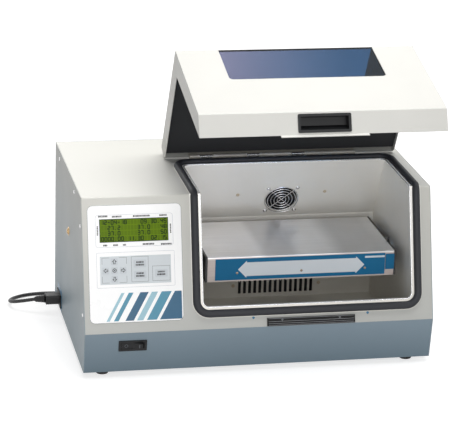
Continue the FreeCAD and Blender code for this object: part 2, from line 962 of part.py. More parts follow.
def place_inner_fan(shape):
    # Behind the leaning wall, blowing into the chamber.
    placed = shape.copy()
    placed.translate(V(fan_center, fan_climb, -liner_sheet - fan_depth))
    return on_wall(placed)


def place_exhaust_fan(shape):
    # Against the rear panel, blowing out.
    placed = shape.copy()
    placed.rotate(V(0, 0, 0), V(0, 1, 0), 180)
    placed.translate(V(fan_center, exhaust_rise, fan_depth))
    return on_rear(placed)


def fan_guards():
    inner = fan_guard()
    inner.translate(V(fan_center, fan_climb, 0))
    outer = fan_guard()
    outer.rotate(V(0, 0, 0), V(0, 1, 0), 180)
    outer.translate(V(fan_center, exhaust_rise, -panel_sheet))
    return group([on_wall(inner), on_rear(outer)])


def duct_outline(grow):
    # Section of the air duct on the back of the liner's rear wall.
    lean = math.radians(wall_lean)
    wall_rear = chamber_rear_y + liner_sheet
    low = slot_low - duct_drop
    top_in = (chamber_rear_y - duct_climb * math.sin(lean) + liner_sheet * math.cos(lean),
              bend_z + duct_climb * math.cos(lean) + liner_sheet * math.sin(lean))
    top_out = (top_in[0] + duct_top_depth * math.cos(lean), top_in[1] + duct_top_depth * math.sin(lean))
    outline = [
        (wall_rear, low),
        (wall_rear, bend_z + liner_sheet * math.tan(lean / 2)),
        top_in,
        top_out,
        (wall_rear + duct_depth, bend_z + duct_bend_lift),
        (wall_rear + duct_depth, low),
    ]
    return moved_line(outline, grow, True)


def air_duct():
    low_x = fan_center - duct_width / 2
    high_x = fan_center + duct_width / 2
    outer = prism(duct_outline(0), low_x, high_x)
    hollow = duct_outline(-duct_sheet)
    lean = math.radians(wall_lean)
    step = duct_sheet + duct_lap
    hollow[0] = (hollow[0][0] - step, hollow[0][1])
    hollow[1] = (hollow[1][0] - step, hollow[1][1])
    hollow[2] = (hollow[2][0] - step * math.cos(lean), hollow[2][1] - step * math.sin(lean))
    duct = outer.cut(prism(hollow, low_x + duct_sheet, high_x - duct_sheet))
    half_x = sink_width / 2 - sink_frame
    window = box((fan_center - half_x, duct_back_y - cut_reach, sink_low + sink_frame),
                 (fan_center + half_x, duct_back_y + cut_reach, sink_low + sink_height - sink_frame))
    duct = duct.cut(window)
    wall_rear = chamber_rear_y + liner_sheet
    flanges = []
    for low in (low_x - duct_flange, high_x):
        flanges.append(box((low, wall_rear, slot_low - duct_drop),
                           (low + duct_flange, wall_rear + duct_sheet, bend_z)))
    return fuse_all([duct] + flanges)


def finned_sink(base_y, base_thickness, fin_depth, toward):
    # A plate with upright fins; toward is -1 for fins to the front, 1 to the rear.
    low_x = fan_center - sink_width / 2
    high_z = sink_low + sink_height
    parts = [box((low_x, base_y, sink_low), (low_x + sink_width, base_y + base_thickness, high_z))]
    pitch = (sink_width - sink_fin) / (sink_fins - 1)
    start = base_y - fin_depth if toward < 0 else base_y + base_thickness
    for index in range(sink_fins):
        x = low_x + index * pitch
        parts.append(box((x, start, sink_low), (x + sink_fin, start + fin_depth, high_z)))
    return fuse_all(parts)


def inner_heat_sink():
    return finned_sink(duct_back_y - sink_base, sink_base, inner_fin_depth, -1)


def thermoelectric_modules():
    tiles = []
    z = sink_low + (sink_height - module_size) / 2
    pitch = module_size + module_gap
    for index in range(module_count):
        x = fan_center + (index - (module_count - 1) / 2) * pitch - module_size / 2
        tiles.append(box((x, duct_back_y, z),
                         (x + module_size, duct_back_y + module_thickness, z + module_size)))
    return group(tiles)


def outer_heat_sink():
    return finned_sink(duct_back_y + module_thickness, outer_sink_base, outer_fin_depth, 1)


# Platform and drive

def platform_tray():
    front = platform_front_y
    back = front + platform_depth
    line = [(front, platform_low), (front, platform_high), (back, platform_high), (back, platform_low)]
    tray = folded_sheet(line, -platform_sheet, platform_left, platform_right)
    return fillet_along_x(tray, platform_round, [(front, platform_high), (back, platform_high)])


def platform_plate():
    front = platform_front_y
    low = platform_low + plate_low_inset
    high = platform_high - plate_high_inset
    block_left = platform_right - plate_block_width
    main = box((platform_left + plate_left_inset, front - plate_sheet, low),
               (block_left - plate_block_gap, front, high))
    block = box((block_left, front - plate_block_sheet, low + plate_block_low),
                (platform_right, front, high - plate_block_high))
    return group([main, block])


def platform_plate_screws():
    front = platform_front_y - plate_sheet
    z = platform_low + plate_screw_rise
    screws = []
    for x in (platform_left + plate_screw_inset, mouth_center, platform_right - plate_screw_inset):
        screws.append(Part.makeCylinder(plate_screw_radius, plate_screw_head, V(x, front, z), V(0, -1, 0)))
    return group(screws)


def platform_end_plates():
    return group([end_plate_piece(-1), end_plate_piece(1)])


def end_plate_piece(side):
    # Plate with a boss round the shaft, two ears inside the tray and, on the right, a knob on its upper edge.
    edge = mouth_center + side * platform_width / 2
    outer = edge + side * end_plate
    inner = edge - side * ear_reach
    front = platform_front_y
    back = front + platform_depth
    plate = box((min(edge, outer), front + end_plate_inset, platform_low),
                (max(edge, outer), back - end_plate_inset, platform_high))
    parts = [plate, rod(end_boss_radius, (edge, axis_y, axis_z), (edge - side * end_boss, axis_y, axis_z))]
    ear_low = platform_low + ear_rise
    for y in (front + platform_sheet, back - platform_sheet - ear_width):
        parts.append(box((min(edge, inner), y, ear_low),
                         (max(edge, inner), y + ear_width, ear_low + ear_height)))
    if side > 0:
        knob_at = (edge + end_plate / 2, front + knob_set)
        knob = rod(knob_radius, (*knob_at, platform_high), (*knob_at, platform_high + knob_height))
        parts.append(knob.common(box((edge, front, 0), (outer, back, 2 * top_z))))
    bore = rod(shaft_radius + shaft_clearance, (outer + side * cut_reach, axis_y, axis_z),
               (edge - side * (end_boss + cut_reach), axis_y, axis_z))
    return fuse_all(parts).cut(bore)


def platform_shafts():
    # The long driven shaft on the left and the short stub on the right.
    left_start = pulley_x - pulley_flange - shaft_tail
    left_end = platform_left + end_boss - shaft_end_gap
    right_start = platform_right - end_boss - shift_travel
    right_end = bracket_x + bracket_sheet + bearing_depth + shaft_end_gap
    return group([
        rod(shaft_radius, (left_start, axis_y, axis_z), (left_end, axis_y, axis_z)),
        rod(shaft_radius, (right_start, axis_y, axis_z), (right_end, axis_y, axis_z)),
    ])


def bearing(low_x):
    half = bearing_size / 2
    high_x = low_x + bearing_depth
    block = box((low_x, axis_y - half, axis_z - half), (high_x, axis_y + half, axis_z + half))
    bore = rod(shaft_radius + shaft_clearance, (low_x - cut_reach, axis_y, axis_z),
               (high_x + cut_reach, axis_y, axis_z))
    return block.cut(bore)


def shaft_bearings():
    return group([bearing(partition_x - bearing_depth), bearing(bracket_x + bracket_sheet)])


def bearing_bracket():
    low_z = base_z + base_sheet
    high_z = axis_z + bearing_size / 2 + bearing_bracket_top
    front = axis_y - bearing_bracket_width / 2
    back = axis_y + bearing_bracket_width / 2
    face = bracket_x + bracket_sheet
    plate = box((bracket_x, front, low_z), (face, back, high_z))
    foot = box((face, front, low_z), (inner_half - cover_sheet - inner_gap, back, low_z + bracket_sheet))
    return plate.fuse(foot).removeSplitter().cut(shaft_hole(bracket_x))


def toothed_pulley(radius, teeth, bore):
    # Toothed rim between two flanges, drawn along +x from x 0.
    corners = []
    step = 2 * math.pi / teeth
    for index in range(teeth):
        for share, reach in tooth_steps(radius):
            angle = (index + share) * step
            corners.append(V(0, reach * math.cos(angle), reach * math.sin(angle)))
    rim = Part.Face(Part.makePolygon(corners + [corners[0]])).extrude(V(pulley_width, 0, 0))
    flange_radius = radius + pulley_flange_rise
    flanges = []
    for low in (-pulley_flange, pulley_width):
        flanges.append(rod(flange_radius, (low, 0, 0), (low + pulley_flange, 0, 0)))
    hole = rod(bore, (-cut_reach, 0, 0), (pulley_width + cut_reach, 0, 0))
    return fuse_all([rim] + flanges).cut(hole)


def tooth_steps(radius):
    # Share of the tooth pitch and radius at the corners of one tooth and the groove beside it.
    root = radius - pulley_tooth
    return ((0.0, radius), (0.45, radius), (0.55, root), (0.9, root))


def drive_pulley():
    pulley = toothed_pulley(drive_pulley_radius, pulley_teeth_drive, shaft_radius)
    pulley.translate(V(pulley_x, axis_y, axis_z))
    return pulley


def motor_pulley():
    # Pulley and the motor's output shaft, which turn as one.
    pulley = toothed_pulley(motor_pulley_radius, pulley_teeth_motor, motor_shaft_radius)
    shaft = rod(motor_shaft_radius, (-motor_shaft_length, 0, 0), (pulley_width + motor_shaft_end, 0, 0))
    pulley = pulley.fuse(shaft).removeSplitter()
    pulley.translate(V(pulley_x, axis_y, motor_z))
    return pulley


def belt_wire(x, extra):
    # Closed line round both pulleys: two arcs joined by their outer tangents.
    big = drive_pulley_radius + extra
    small = motor_pulley_radius + extra
    lean = (big - small) / motor_drop
    side = math.sqrt(1 - lean * lean)
    top = V(x, axis_y, axis_z)
    low = V(x, axis_y, motor_z)
    left = V(0, -side, -lean)
    right = V(0, side, -lean)
    big_left = top + left * big
    big_right = top + right * big
    small_left = low + left * small
    small_right = low + right * small
    edges = [
        Part.Arc(big_left, top + V(0, 0, big), big_right).toShape(),
        Part.LineSegment(big_right, small_right).toShape(),
        Part.Arc(small_right, low - V(0, 0, small), small_left).toShape(),
        Part.LineSegment(small_left, big_left).toShape(),
    ]
    return Part.Wire(edges)


def drive_belt():
    low_x = pulley_x + belt_side_gap
    run = V(pulley_width - 2 * belt_side_gap, 0, 0)
    outer = Part.Face(belt_wire(low_x, belt_gap + belt_thickness)).extrude(run)
    inner = Part.Face(belt_wire(low_x, belt_gap)).extrude(run)
    return outer.cut(inner)


def drive_motor():
    face = motor_face_x - bracket_sheet
    gear_end = face - gearbox_length
    can_end = gear_end - motor_length
    gearbox = rod(motor_radius, (gear_end, axis_y, motor_z), (face, axis_y, motor_z))
    can = rod(motor_can_radius, (can_end, axis_y, motor_z), (gear_end, axis_y, motor_z))
    tail = rod(motor_tail_radius, (can_end - motor_tail, axis_y, motor_z), (can_end, axis_y, motor_z))
    bore = rod(motor_shaft_radius + shaft_clearance, (face - motor_bore_depth, axis_y, motor_z),
               (face + cut_reach, axis_y, motor_z))
    return fuse_all([gearbox, can, tail]).cut(bore)


def motor_bracket():
    low_z = base_z + base_sheet
    high_z = motor_z + motor_radius + motor_bracket_top
    front = axis_y - motor_bracket_width / 2
    back = axis_y + motor_bracket_width / 2
    inner = motor_face_x - bracket_sheet
    plate = box((inner, front, low_z), (motor_face_x, back, high_z))
    foot = box((inner - motor_bracket_foot, front, low_z), (inner, back, low_z + bracket_sheet))
    hole = rod(motor_tail_radius, (inner - cut_reach, axis_y, motor_z),
               (motor_face_x + cut_reach, axis_y, motor_z))
    return plate.fuse(foot).removeSplitter().cut(hole)


# Controls

def key_places():
    x = panel_left + key_pad_inset
    climb = panel_high - key_pad_drop
    middle_x = panel_left + middle_key_inset
    small = (key_size, key_size)
    wide = (wide_key_width, wide_key_height)
    return {
        "key_center": (x, climb, small),
        "key_up": (x, climb + key_pitch, small),
        "key_down": (x, climb - key_pitch, small),
        "key_left": (x - key_pitch, climb, small),
        "key_right": (x + key_pitch, climb, small),
        "key_timer": (middle_x, panel_high - timer_key_drop, wide),
        "key_speed": (middle_x, panel_high - speed_key_drop, wide),
        "key_run": (panel_left + right_key_inset, panel_high - run_key_drop, wide),
    }


def control_panel():
    film = round_plate((panel_left, panel_low, 0), (panel_right, panel_high, panel_film), panel_corner)
    cuts = [box((display_left, display_low, -cut_reach), (display_right, display_high, cut_reach))]
    for x, climb, size in key_places().values():
        half_x = size[0] / 2 + key_clearance
        half_y = size[1] / 2 + key_clearance
        cuts.append(box((x - half_x, climb - half_y, -cut_reach), (x + half_x, climb + half_y, cut_reach)))
    return on_front(film.cut(group(cuts)))


def panel_key(x, climb, size):
    half_x = size[0] / 2
    half_y = size[1] / 2
    low = (x - half_x, climb - half_y, key_travel + key_seat)
    high = (x + half_x, climb + half_y, key_rise)
    return on_front(round_plate(low, high, key_corner))


def display_window():
    low = (display_left + display_gap, display_low + display_gap, -cover_sheet)
    high = (display_right - display_gap, display_high - display_gap, window_sheet - cover_sheet)
    return on_front(box(low, high))


def display_module():
    left = display_left - display_frame_side
    right = display_right + display_frame_side
    low = display_low - display_frame_top
    high = display_high + display_frame_top
    back = -cover_sheet - display_frame_depth
    frame = box((left, low, back), (right, high, -cover_sheet))
    board = box((left - display_board_side, low - display_board_top, back - board_sheet),
                (right + display_board_side, high + display_board_top, back))
    return on_front(fuse_all([frame, board]))


def control_board():
    # Board on four pillars from the cover, with its larger components.
    left = panel_left + board_side
    right = panel_right - board_side
    high = panel_high - board_drop
    low = high - board_height
    face = -board_depth
    parts = [box((left, low, face - board_sheet), (right, high, face))]
    for x in (left + standoff_inset, right - standoff_inset):
        for climb in (low + standoff_inset, high - standoff_inset):
            parts.append(Part.makeCylinder(standoff_radius, board_depth - cover_sheet, V(x, climb, face)))
    chip = (left + chip_inset, low + chip_rise)
    relay = (left + relay_inset, low + relay_rise)
    parts.append(box((*chip, face), (chip[0] + chip_width, chip[1] + chip_height, face + chip_thickness)))
    parts.append(box((*relay, face),
                     (relay[0] + relay_width, relay[1] + relay_height, face + relay_thickness)))
    return on_front(fuse_all(parts))


def switch_bezel():
    # Rim on the apron and a pocket behind it for the rocker.
    half_x = switch_width / 2
    half_y = switch_height / 2
    body_x = half_x - switch_rim - switch_gap
    body_y = half_y - switch_rim - switch_gap
    wall_x = body_x - switch_wall
    wall_y = body_y - switch_side_wall
    rim = round_plate((-half_x, -half_y, 0), (half_x, half_y, switch_lip), switch_corner)
    body = box((-body_x, -body_y, -switch_depth), (body_x, body_y, 0))
    pocket = box((-wall_x, -wall_y, switch_floor - switch_depth), (wall_x, wall_y, switch_lip + cut_reach))
    socket = wall_y + pin_socket
    sockets = rod(rocker_pin + shaft_clearance, (0, -socket, rocker_axis), (0, socket, rocker_axis))
    bezel = rim.fuse(body).removeSplitter().cut(pocket).cut(sockets)
    bezel.translate(V(switch_center, switch_rise, 0))
    return on_apron(bezel)


def switch_rocker():
    # Shallow V of the two lobes, tilted about the pin so that the left lobe is pressed in.
    half_y = switch_height / 2 - switch_rim - switch_gap - switch_side_wall - rocker_clearance
    reach = switch_width / 2 - switch_rim - switch_wall - rocker_end_gap
    belly = rocker_belly_width / 2
    outline = [
        (-reach, rocker_lobe), (0, rocker_middle), (reach, rocker_lobe),
        (reach, -rocker_edge), (belly, -rocker_belly), (-belly, -rocker_belly), (-reach, -rocker_edge),
    ]
    corners = [V(x, -half_y, out) for x, out in outline]
    rocker = Part.Face(Part.makePolygon(corners + [corners[0]])).extrude(V(0, 2 * half_y, 0))
    pin_end = half_y + rocker_pin_length
    pin = rod(rocker_pin, (0, -pin_end, rocker_axis), (0, pin_end, rocker_axis))
    rocker = rocker.fuse(pin).removeSplitter()
    rocker.rotate(V(0, 0, rocker_axis), V(0, 1, 0), -rocker_tilt)
    rocker.translate(V(switch_center, switch_rise, 0))
    return on_apron(rocker)


def power_supply():
    right = partition_x - flange_depth - supply_gap
    left = right - supply_width
    back = inner_rear_y - supply_rear
    front = back - supply_depth
    low = base_z + base_sheet
    body = box((left, front, low), (right, back, low + supply_height))
    slots = []
    for index in range(supply_slots):
        y = front + (index + 1) * supply_slot_pitch
        slots.append(box((left - cut_reach, y, low + supply_slot_low),
                         (left + supply_slot_depth, y + supply_slot_width, low + supply_slot_high)))
    return body.cut(group(slots))


# Left side

def power_inlet():
    half_y = inlet_width / 2
    half_z = inlet_height / 2
    body_y = half_y - inlet_side_margin - inlet_gap
    body_z = half_z - inlet_end_margin - inlet_gap
    outer = -half_width
    flange = box((outer - inlet_flange, inlet_y - half_y, inlet_z - half_z),
                 (outer, inlet_y + half_y, inlet_z + half_z))
    body = box((outer, inlet_y - body_y, inlet_z - body_z),
               (outer + inlet_depth, inlet_y + body_y, inlet_z + body_z))
    return flange.fuse(body).removeSplitter()


def cord_connector():
    # Moulded connector with a tapering strain relief that sweeps back and down.
    start = -half_width - inlet_flange
    end = start - connector_length
    body = box((end, inlet_y - connector_width / 2, inlet_z - connector_height / 2),
               (start, inlet_y + connector_width / 2, inlet_z + connector_height / 2))
    body = body.makeFillet(connector_corner, edges_along_x(body))
    neck_start = V(end, inlet_y, inlet_z)
    neck_end = V(*cord_route()[0])
    direction = neck_end - neck_start
    neck = Part.makeCone(relief_radius, lead_radius + relief_wall, direction.Length, neck_start, direction)
    trim = box((end - cabinet_depth, inlet_y - cabinet_depth, 0), (end, inlet_y + cabinet_depth, top_z))
    return body.fuse(neck.common(trim)).removeSplitter()


def edges_along_x(shape):
    return [edge for edge in shape.Edges if abs(edge.tangentAt(edge.FirstParameter).x) > 0.9]


def cord_route():
    # Points of the lead from the strain relief to the coil, chosen by eye; it lies on the bench at the end.
    lay = lead_radius + lead_lift
    steps = [
        (-50, 8, 31),
        (-80, 22, 22),
        (-98, 53, 11),
        (-89, 87, lay + 0.5),
        (-60, 107, lay),
        (-22, 113, lay),
        (16, 109, lay),
        (52, coil_rear, lay),
    ]
    return [(-half_width + x, inlet_y + y, z) for x, y, z in steps]


def cord_path(points):
    # Straight runs joined by tangent arcs, each as large as its two runs allow; also gives the radii.
    places = [V(*point) for point in points]
    edges = []
    radii = []
    start = places[0]
    for index in range(1, len(places) - 1):
        before = places[index - 1] - places[index]
        after = places[index + 1] - places[index]
        half_turn = (math.pi - before.getAngle(after)) / 2
        shorter = min(before.Length, after.Length)
        cut = 0.45 * shorter
        radius = cut / math.tan(half_turn)
        radii.append(radius)
        before.normalize()
        after.normalize()
        arc_start = places[index] + before * cut
        arc_end = places[index] + after * cut
        inward = before + after
        inward.normalize()
        middle = places[index] + inward * (radius / math.cos(half_turn) - radius)
        edges.append(Part.LineSegment(start, arc_start).toShape())
        edges.append(Part.Arc(arc_start, middle, arc_end).toShape())
        start = arc_end
    edges.append(Part.LineSegment(start, places[-1]).toShape())
    return Part.Wire(edges), radii


def cord_lead():
    path, radii = cord_path(cord_route())
    print("lead arc radii", [round(radius, 1) for radius in radii])
    first = V(*cord_route()[1]) - V(*cord_route()[0])
    circle = Part.Wire(Part.makeCircle(lead_radius, V(*cord_route()[0]), first))
    lead = path.makePipeShell([circle], True, True)
    section = math.pi * lead_radius ** 2
    print("lead volume against section times length", round(lead.Volume / (section * path.Length), 4))
    print("lead length", round(path.Length, 1))
    return lead


def cord_coil():
    half = coil_turns_wide * lead_radius
    height = coil_turns_high * 2 * lead_radius
    low = (coil_x, coil_y, coil_lift)
    high = (coil_x, coil_y, coil_lift + height)
    return tube(coil_radius + half, coil_radius - half, low, high)


def mains_plug():
    # Moulded plug lying on the bench beside the coil, with two blades and an earth pin.
    outer = coil_radius + coil_turns_wide * lead_radius
    start = coil_x + math.sqrt(outer ** 2 - coil_radius ** 2)
    low_x = start + plug_neck_length
    high_x = low_x + plug_length
    y = coil_y - coil_radius
    z = plug_height / 2 + coil_lift
    neck = Part.makeCone(lead_radius + relief_wall, plug_neck_radius, plug_neck_length,
                         V(start, y, z), V(1, 0, 0))
    body = box((low_x, y - plug_width / 2, coil_lift), (high_x, y + plug_width / 2, coil_lift + plug_height))
    parts = [neck, body.makeFillet(plug_corner, edges_along_x(body))]
    for side in (-1, 1):
        center_y = y + side * blade_pitch / 2
        parts.append(box((high_x, center_y - blade_thickness / 2, z - blade_width),
                         (high_x + blade_length, center_y + blade_thickness / 2, z)))
    parts.append(rod(earth_radius, (high_x, y, z + earth_rise), (high_x + earth_length, y, z + earth_rise)))
    return fuse_all(parts)


def probe_jack():
    y = nose_y + jack_y
    z = base_z + jack_rise
    outer = -half_width
    ring = rod(jack_radius + jack_flange, (outer - jack_flange_sheet, y, z), (outer, y, z))
    barrel = rod(jack_radius, (outer, y, z), (outer + jack_length, y, z))
    bore = rod(jack_bore, (outer - cut_reach, y, z), (outer + jack_bore_depth, y, z))
    return ring.fuse(barrel).removeSplitter().cut(bore)


# Latch strip

def latch_strip():
    right = latch_left + latch_width
    strip = box((latch_left, latch_low, 0), (right, latch_low + latch_height, latch_rise))
    grooves = []
    for index in range(latch_grooves):
        low = latch_low + groove_start + index * groove_pitch
        grooves.append(box((latch_left + groove_end, low, latch_rise - groove_depth),
                           (right - groove_end, low + groove_width, latch_rise + cut_reach)))
    return on_front(strip.cut(group(grooves)))


# Lid, drawn closed and then turned open

def lid_outline():
    # Outer walls of the closed lid, from its rear lower edge over the top and down to the end of the lip.
    rear = hinge_axis_y + hinge_rear
    return [
        (rear, hinge_z + rear_edge_gap),
        (rear, top_z + lid_thickness),
        peak_point(),
        front_at(lip_high, lid_thickness),
        front_at(lip_low, lid_edge_gap),
    ]


def lid_inner_line(stretch):
    # The same walls on their inner side; the lip is stretched or shortened by a factor.
    line = moved_line(lid_outline(), lid_sheet, False)
    step_y = line[4][0] - line[3][0]
    step_z = line[4][1] - line[3][1]
    line[4] = (line[3][0] + stretch * step_y, line[3][1] + stretch * step_z)
    return line


def peak_point():
    # Outer corner of the closed lid, where its top and front faces meet.
    return front_at(front_length + lid_thickness * fold_share, lid_thickness)


def seat_line(gap):
    # The lid's open side, from the lip round the shoulder to the hinge, at a gap above the cabinet.
    rear = hinge_axis_y - knuckle_radius - lid_rear_gap
    return [front_at(front_length + gap * fold_share, gap), (rear, top_z + gap)]


def lid_shell():
    solid = prism(lid_outline() + seat_line(lid_gap), lid_left, lid_right)
    solid = fillet_along_x(solid, lid_round, [peak_point(), front_at(lip_high, lid_thickness)])
    inner = lid_inner_line(2.0)
    inner[0] = (inner[0][0], 0)
    inner = inner[1:] + inner[:1]
    hollow = prism(inner, lid_left + lid_sheet, lid_right - lid_sheet)
    shell = solid.cut(hollow)
    shell = shell.cut(window_opening(0, cut_reach, 0))
    keeper_low = latch_rise + keeper_gap
    keeper = box((mouth_center - keeper_width / 2, lip_low - keeper_drop, keeper_low),
                 (mouth_center + keeper_width / 2, lip_low + keeper_lap, keeper_low + lid_sheet))
    shell = shell.fuse(on_front(keeper)).removeSplitter()
    shell = shell.cut(handle_block(handle_gap, -cut_reach, cut_reach))
    return opened(shell)


def window_opening(grow, out, inward):
    # A block over the lid's front corner: down the front by window_down and back over the top by window_back.
    half = window_width / 2 + grow
    corner = window_corner + grow
    climb = front_length + lid_thickness * fold_share
    low = lid_thickness - lid_sheet - inward
    high = lid_thickness + out
    left = mouth_center - half
    right = mouth_center + half
    front = round_plate((left, climb - window_down - grow, low), (right, climb + mouth_spare, high), corner)
    back = round_plate((left, -mouth_spare, low), (right, window_back + grow, high), corner)
    back.translate(V(0, peak_point()[0], top_z))
    return folded(on_front(front), back)


def lid_window():
    # One bent pane clamped behind the sheet, with a step that fills the opening.
    pane = window_opening(pane_margin, -lid_sheet, pane_sheet)
    return opened(pane)


def lid_foam():
    start = lid_inner_line(foam_lip_share)
    face = gasket_height + lid_foam_seat
    rear_in = hinge_axis_y - knuckle_radius - lid_foam_rear_gap
    outline = [
        (rear_in, top_z + face),
        (rear_in, start[1][1]),
        start[2],
        start[3],
        start[4],
        front_at(lip_low + lid_foam_lip, face),
        front_at(front_length + face * fold_share, face),
    ]
    foam = prism(outline, lid_left + lid_sheet, lid_right - lid_sheet)
    foam = foam.cut(window_opening(0, cut_reach, 2 * lid_thickness))
    foam = foam.cut(window_opening(pane_margin + pane_gap, cut_reach, pane_sheet + pane_gap))
    foam = foam.cut(handle_block(pane_gap, -handle_depth - handle_wall - pane_gap, cut_reach))
    return opened(foam)


def on_lip(shape):
    # Local x, up the closed lip from its lower end, out of it.
    low = front_at(lip_low, lid_edge_gap)
    high = front_at(lip_high, lid_thickness)
    turn = math.degrees(math.atan2(high[1] - low[1], high[0] - low[0]))
    return on_plane(shape, low[0], low[1], turn)


def lip_length():
    low = front_at(lip_low, lid_edge_gap)
    high = front_at(lip_high, lid_thickness)
    return math.hypot(high[0] - low[0], high[1] - low[1])


def handle_block(grow, low, high):
    middle = lip_length() / 2
    half_x = handle_width / 2 + grow - handle_rim
    half_y = handle_height / 2 + grow - handle_rim
    return on_lip(box((mouth_center - half_x, middle - half_y, low),
                      (mouth_center + half_x, middle + half_y, high)))


def above_slope(rise):
    # Everything more than rise out of the front slope, so that the cup's back clears the gasket.
    return on_front(box((-half_width, -body_height, rise), (half_width, body_height, cabinet_depth)))


def lid_handle():
    # Recessed pull: a rim on the lip and a cup behind it with an undercut for the fingers.
    half_x = handle_width / 2
    half_y = handle_height / 2
    cup_x = half_x - handle_rim
    cup_y = half_y - handle_rim
    pocket_x = cup_x - handle_wall
    pocket_y = cup_y - handle_wall
    rim = round_plate((-half_x, -half_y, 0), (half_x, half_y, handle_lip), handle_corner)
    cup = box((-cup_x, -cup_y, -handle_depth - handle_wall), (cup_x, cup_y, 0))
    pocket = box((-pocket_x, -pocket_y, -handle_depth), (pocket_x, pocket_y, handle_lip + cut_reach))
    for piece in (rim, cup, pocket):
        piece.translate(V(mouth_center, lip_length() / 2, 0))
    floor = gasket_height + lid_foam_seat
    handle = on_lip(rim).fuse(on_lip(cup).common(above_slope(floor))).removeSplitter()
    return opened(handle.cut(on_lip(pocket).common(above_slope(floor + handle_wall))))


# Hinge

def knuckle_spans():
    # The hinge line is cut into knuckles; the spring gaps stay free of them.
    edges = [hinge_left]
    for center in spring_centers:
        edges += [center - spring_length / 2, center + spring_length / 2]
    edges.append(hinge_right)
    fixed = []
    moving = []
    for index in range(0, len(edges), 2):
        low = edges[index]
        high = edges[index + 1]
        middle = (low + high) / 2
        fixed.append((low, middle - knuckle_gap / 2))
        moving.append((middle + knuckle_gap / 2, high))
    return fixed, moving


def knuckle(span):
    return rod(knuckle_radius, (span[0], hinge_axis_y, hinge_z), (span[1], hinge_axis_y, hinge_z))


def hinge_bore(radius):
    return rod(radius, (hinge_left - cut_reach, hinge_axis_y, hinge_z),
               (hinge_right + cut_reach, hinge_axis_y, hinge_z))


def hinge_leaf_fixed():
    near = hinge_axis_y - knuckle_radius
    high = top_z + leaf_sheet
    parts = [box((hinge_left, near - leaf_width, top_z), (hinge_right, near + leaf_lap, high))]
    for span in knuckle_spans()[0]:
        parts.append(knuckle(span))
        parts.append(box((span[0], near, top_z), (span[1], hinge_axis_y, high)))
    return fuse_all(parts).cut(hinge_bore(pin_radius + pin_clearance))


def hinge_leaf_lid():
    # Its leaf stands up inside the lid's rear wall when the lid is closed.
    rear = hinge_axis_y + hinge_rear - lid_sheet
    edge = hinge_z + rear_edge_gap
    low = edge - rear_leaf_drop
    high = top_z + lid_thickness - leaf_top_gap
    parts = [box((hinge_left, rear - leaf_sheet, edge), (hinge_right, rear, high))]
    for span in knuckle_spans()[1]:
        parts.append(knuckle(span))
        parts.append(box((span[0], hinge_axis_y, low), (span[1], rear, low + knuckle_web)))
        parts.append(box((span[0], rear - leaf_sheet, low), (span[1], rear, edge + leaf_sheet)))
    return opened(fuse_all(parts).cut(hinge_bore(pin_radius + pin_clearance)))


def hinge_pin():
    return rod(pin_radius, (hinge_left, hinge_axis_y, hinge_z), (hinge_right, hinge_axis_y, hinge_z))


def hinge_springs():
    springs = []
    for center in spring_centers:
        low = center - spring_length / 2 + knuckle_gap
        high = center + spring_length / 2 - knuckle_gap
        springs.append(tube(knuckle_radius - spring_wall_gap, pin_radius + spring_pin_gap,
                            (low, hinge_axis_y, hinge_z), (high, hinge_axis_y, hinge_z)))
    return group(springs)


# Writing the pieces

save("base_tray", base_tray())
save("top_front_cover", top_front_cover())
save("left_side_panel", side_panel(-1))
save("right_side_panel", side_panel(1))
save("rear_panel", rear_panel())
save("case_screws", case_screws())
save("rubber_feet", rubber_feet())
save("partition_wall", partition_wall())
save("chamber_liner", chamber_liner())
save("insulation_jacket", insulation_jacket())
save("opening_gasket", opening_gasket())
save("fan_frames", group([place_inner_fan(fan_frame()), place_exhaust_fan(fan_frame())]))
save("circulation_fan_impeller", place_inner_fan(fan_impeller()))
save("exhaust_fan_impeller", place_exhaust_fan(fan_impeller()))
save("fan_guards", fan_guards())
save("air_duct", air_duct())
save("inner_heat_sink", inner_heat_sink())
save("thermoelectric_modules", thermoelectric_modules())
save("outer_heat_sink", outer_heat_sink())
save("platform_tray", platform_tray())
save("platform_plate", platform_plate())
save("platform_plate_screws", platform_plate_screws())
save("platform_end_plates", platform_end_plates())
save("platform_shafts", platform_shafts())
save("shaft_bearings", shaft_bearings())
save("drive_brackets", group([bearing_bracket(), motor_bracket()]))
save("drive_pulley", drive_pulley())
save("motor_pulley", motor_pulley())
save("drive_belt", drive_belt())
save("drive_motor", drive_motor())
save("control_panel", control_panel())
for key_name, (key_x, key_climb, key_shape) in key_places().items():
    save(key_name, panel_key(key_x, key_climb, key_shape))
save("display_window", display_window())
save("display_module", display_module())
save("control_board", control_board())
save("switch_bezel", switch_bezel())
save("switch_rocker", switch_rocker())
save("power_supply", power_supply())
save("power_inlet", power_inlet())
save("cord_connector", cord_connector())
save("cord_lead", cord_lead())
save("cord_coil", cord_coil())
save("mains_plug", mains_plug())
save("probe_jack", probe_jack())
save("latch_strip", latch_strip())
save("lid_shell", lid_shell())
save("lid_foam", lid_foam())
save("lid_window", lid_window())
save("lid_handle", lid_handle())
save("hinge_leaf_fixed", hinge_leaf_fixed())
save("hinge_leaf_lid", hinge_leaf_lid())
save("hinge_pin", hinge_pin())
save("hinge_springs", hinge_springs())

print("nose line y", round(nose_y, 3), "hinge axis y", round(hinge_axis_y, 3), "z", hinge_z)
print("turning axis y", round(axis_y, 3), "z", axis_z)
print("wall lean", round(wall_lean, 3), "front tilt", round(front_tilt, 3))
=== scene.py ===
import json
import math
import random

import bpy
import bmesh
import numpy as np
from mathutils import Matrix, Vector


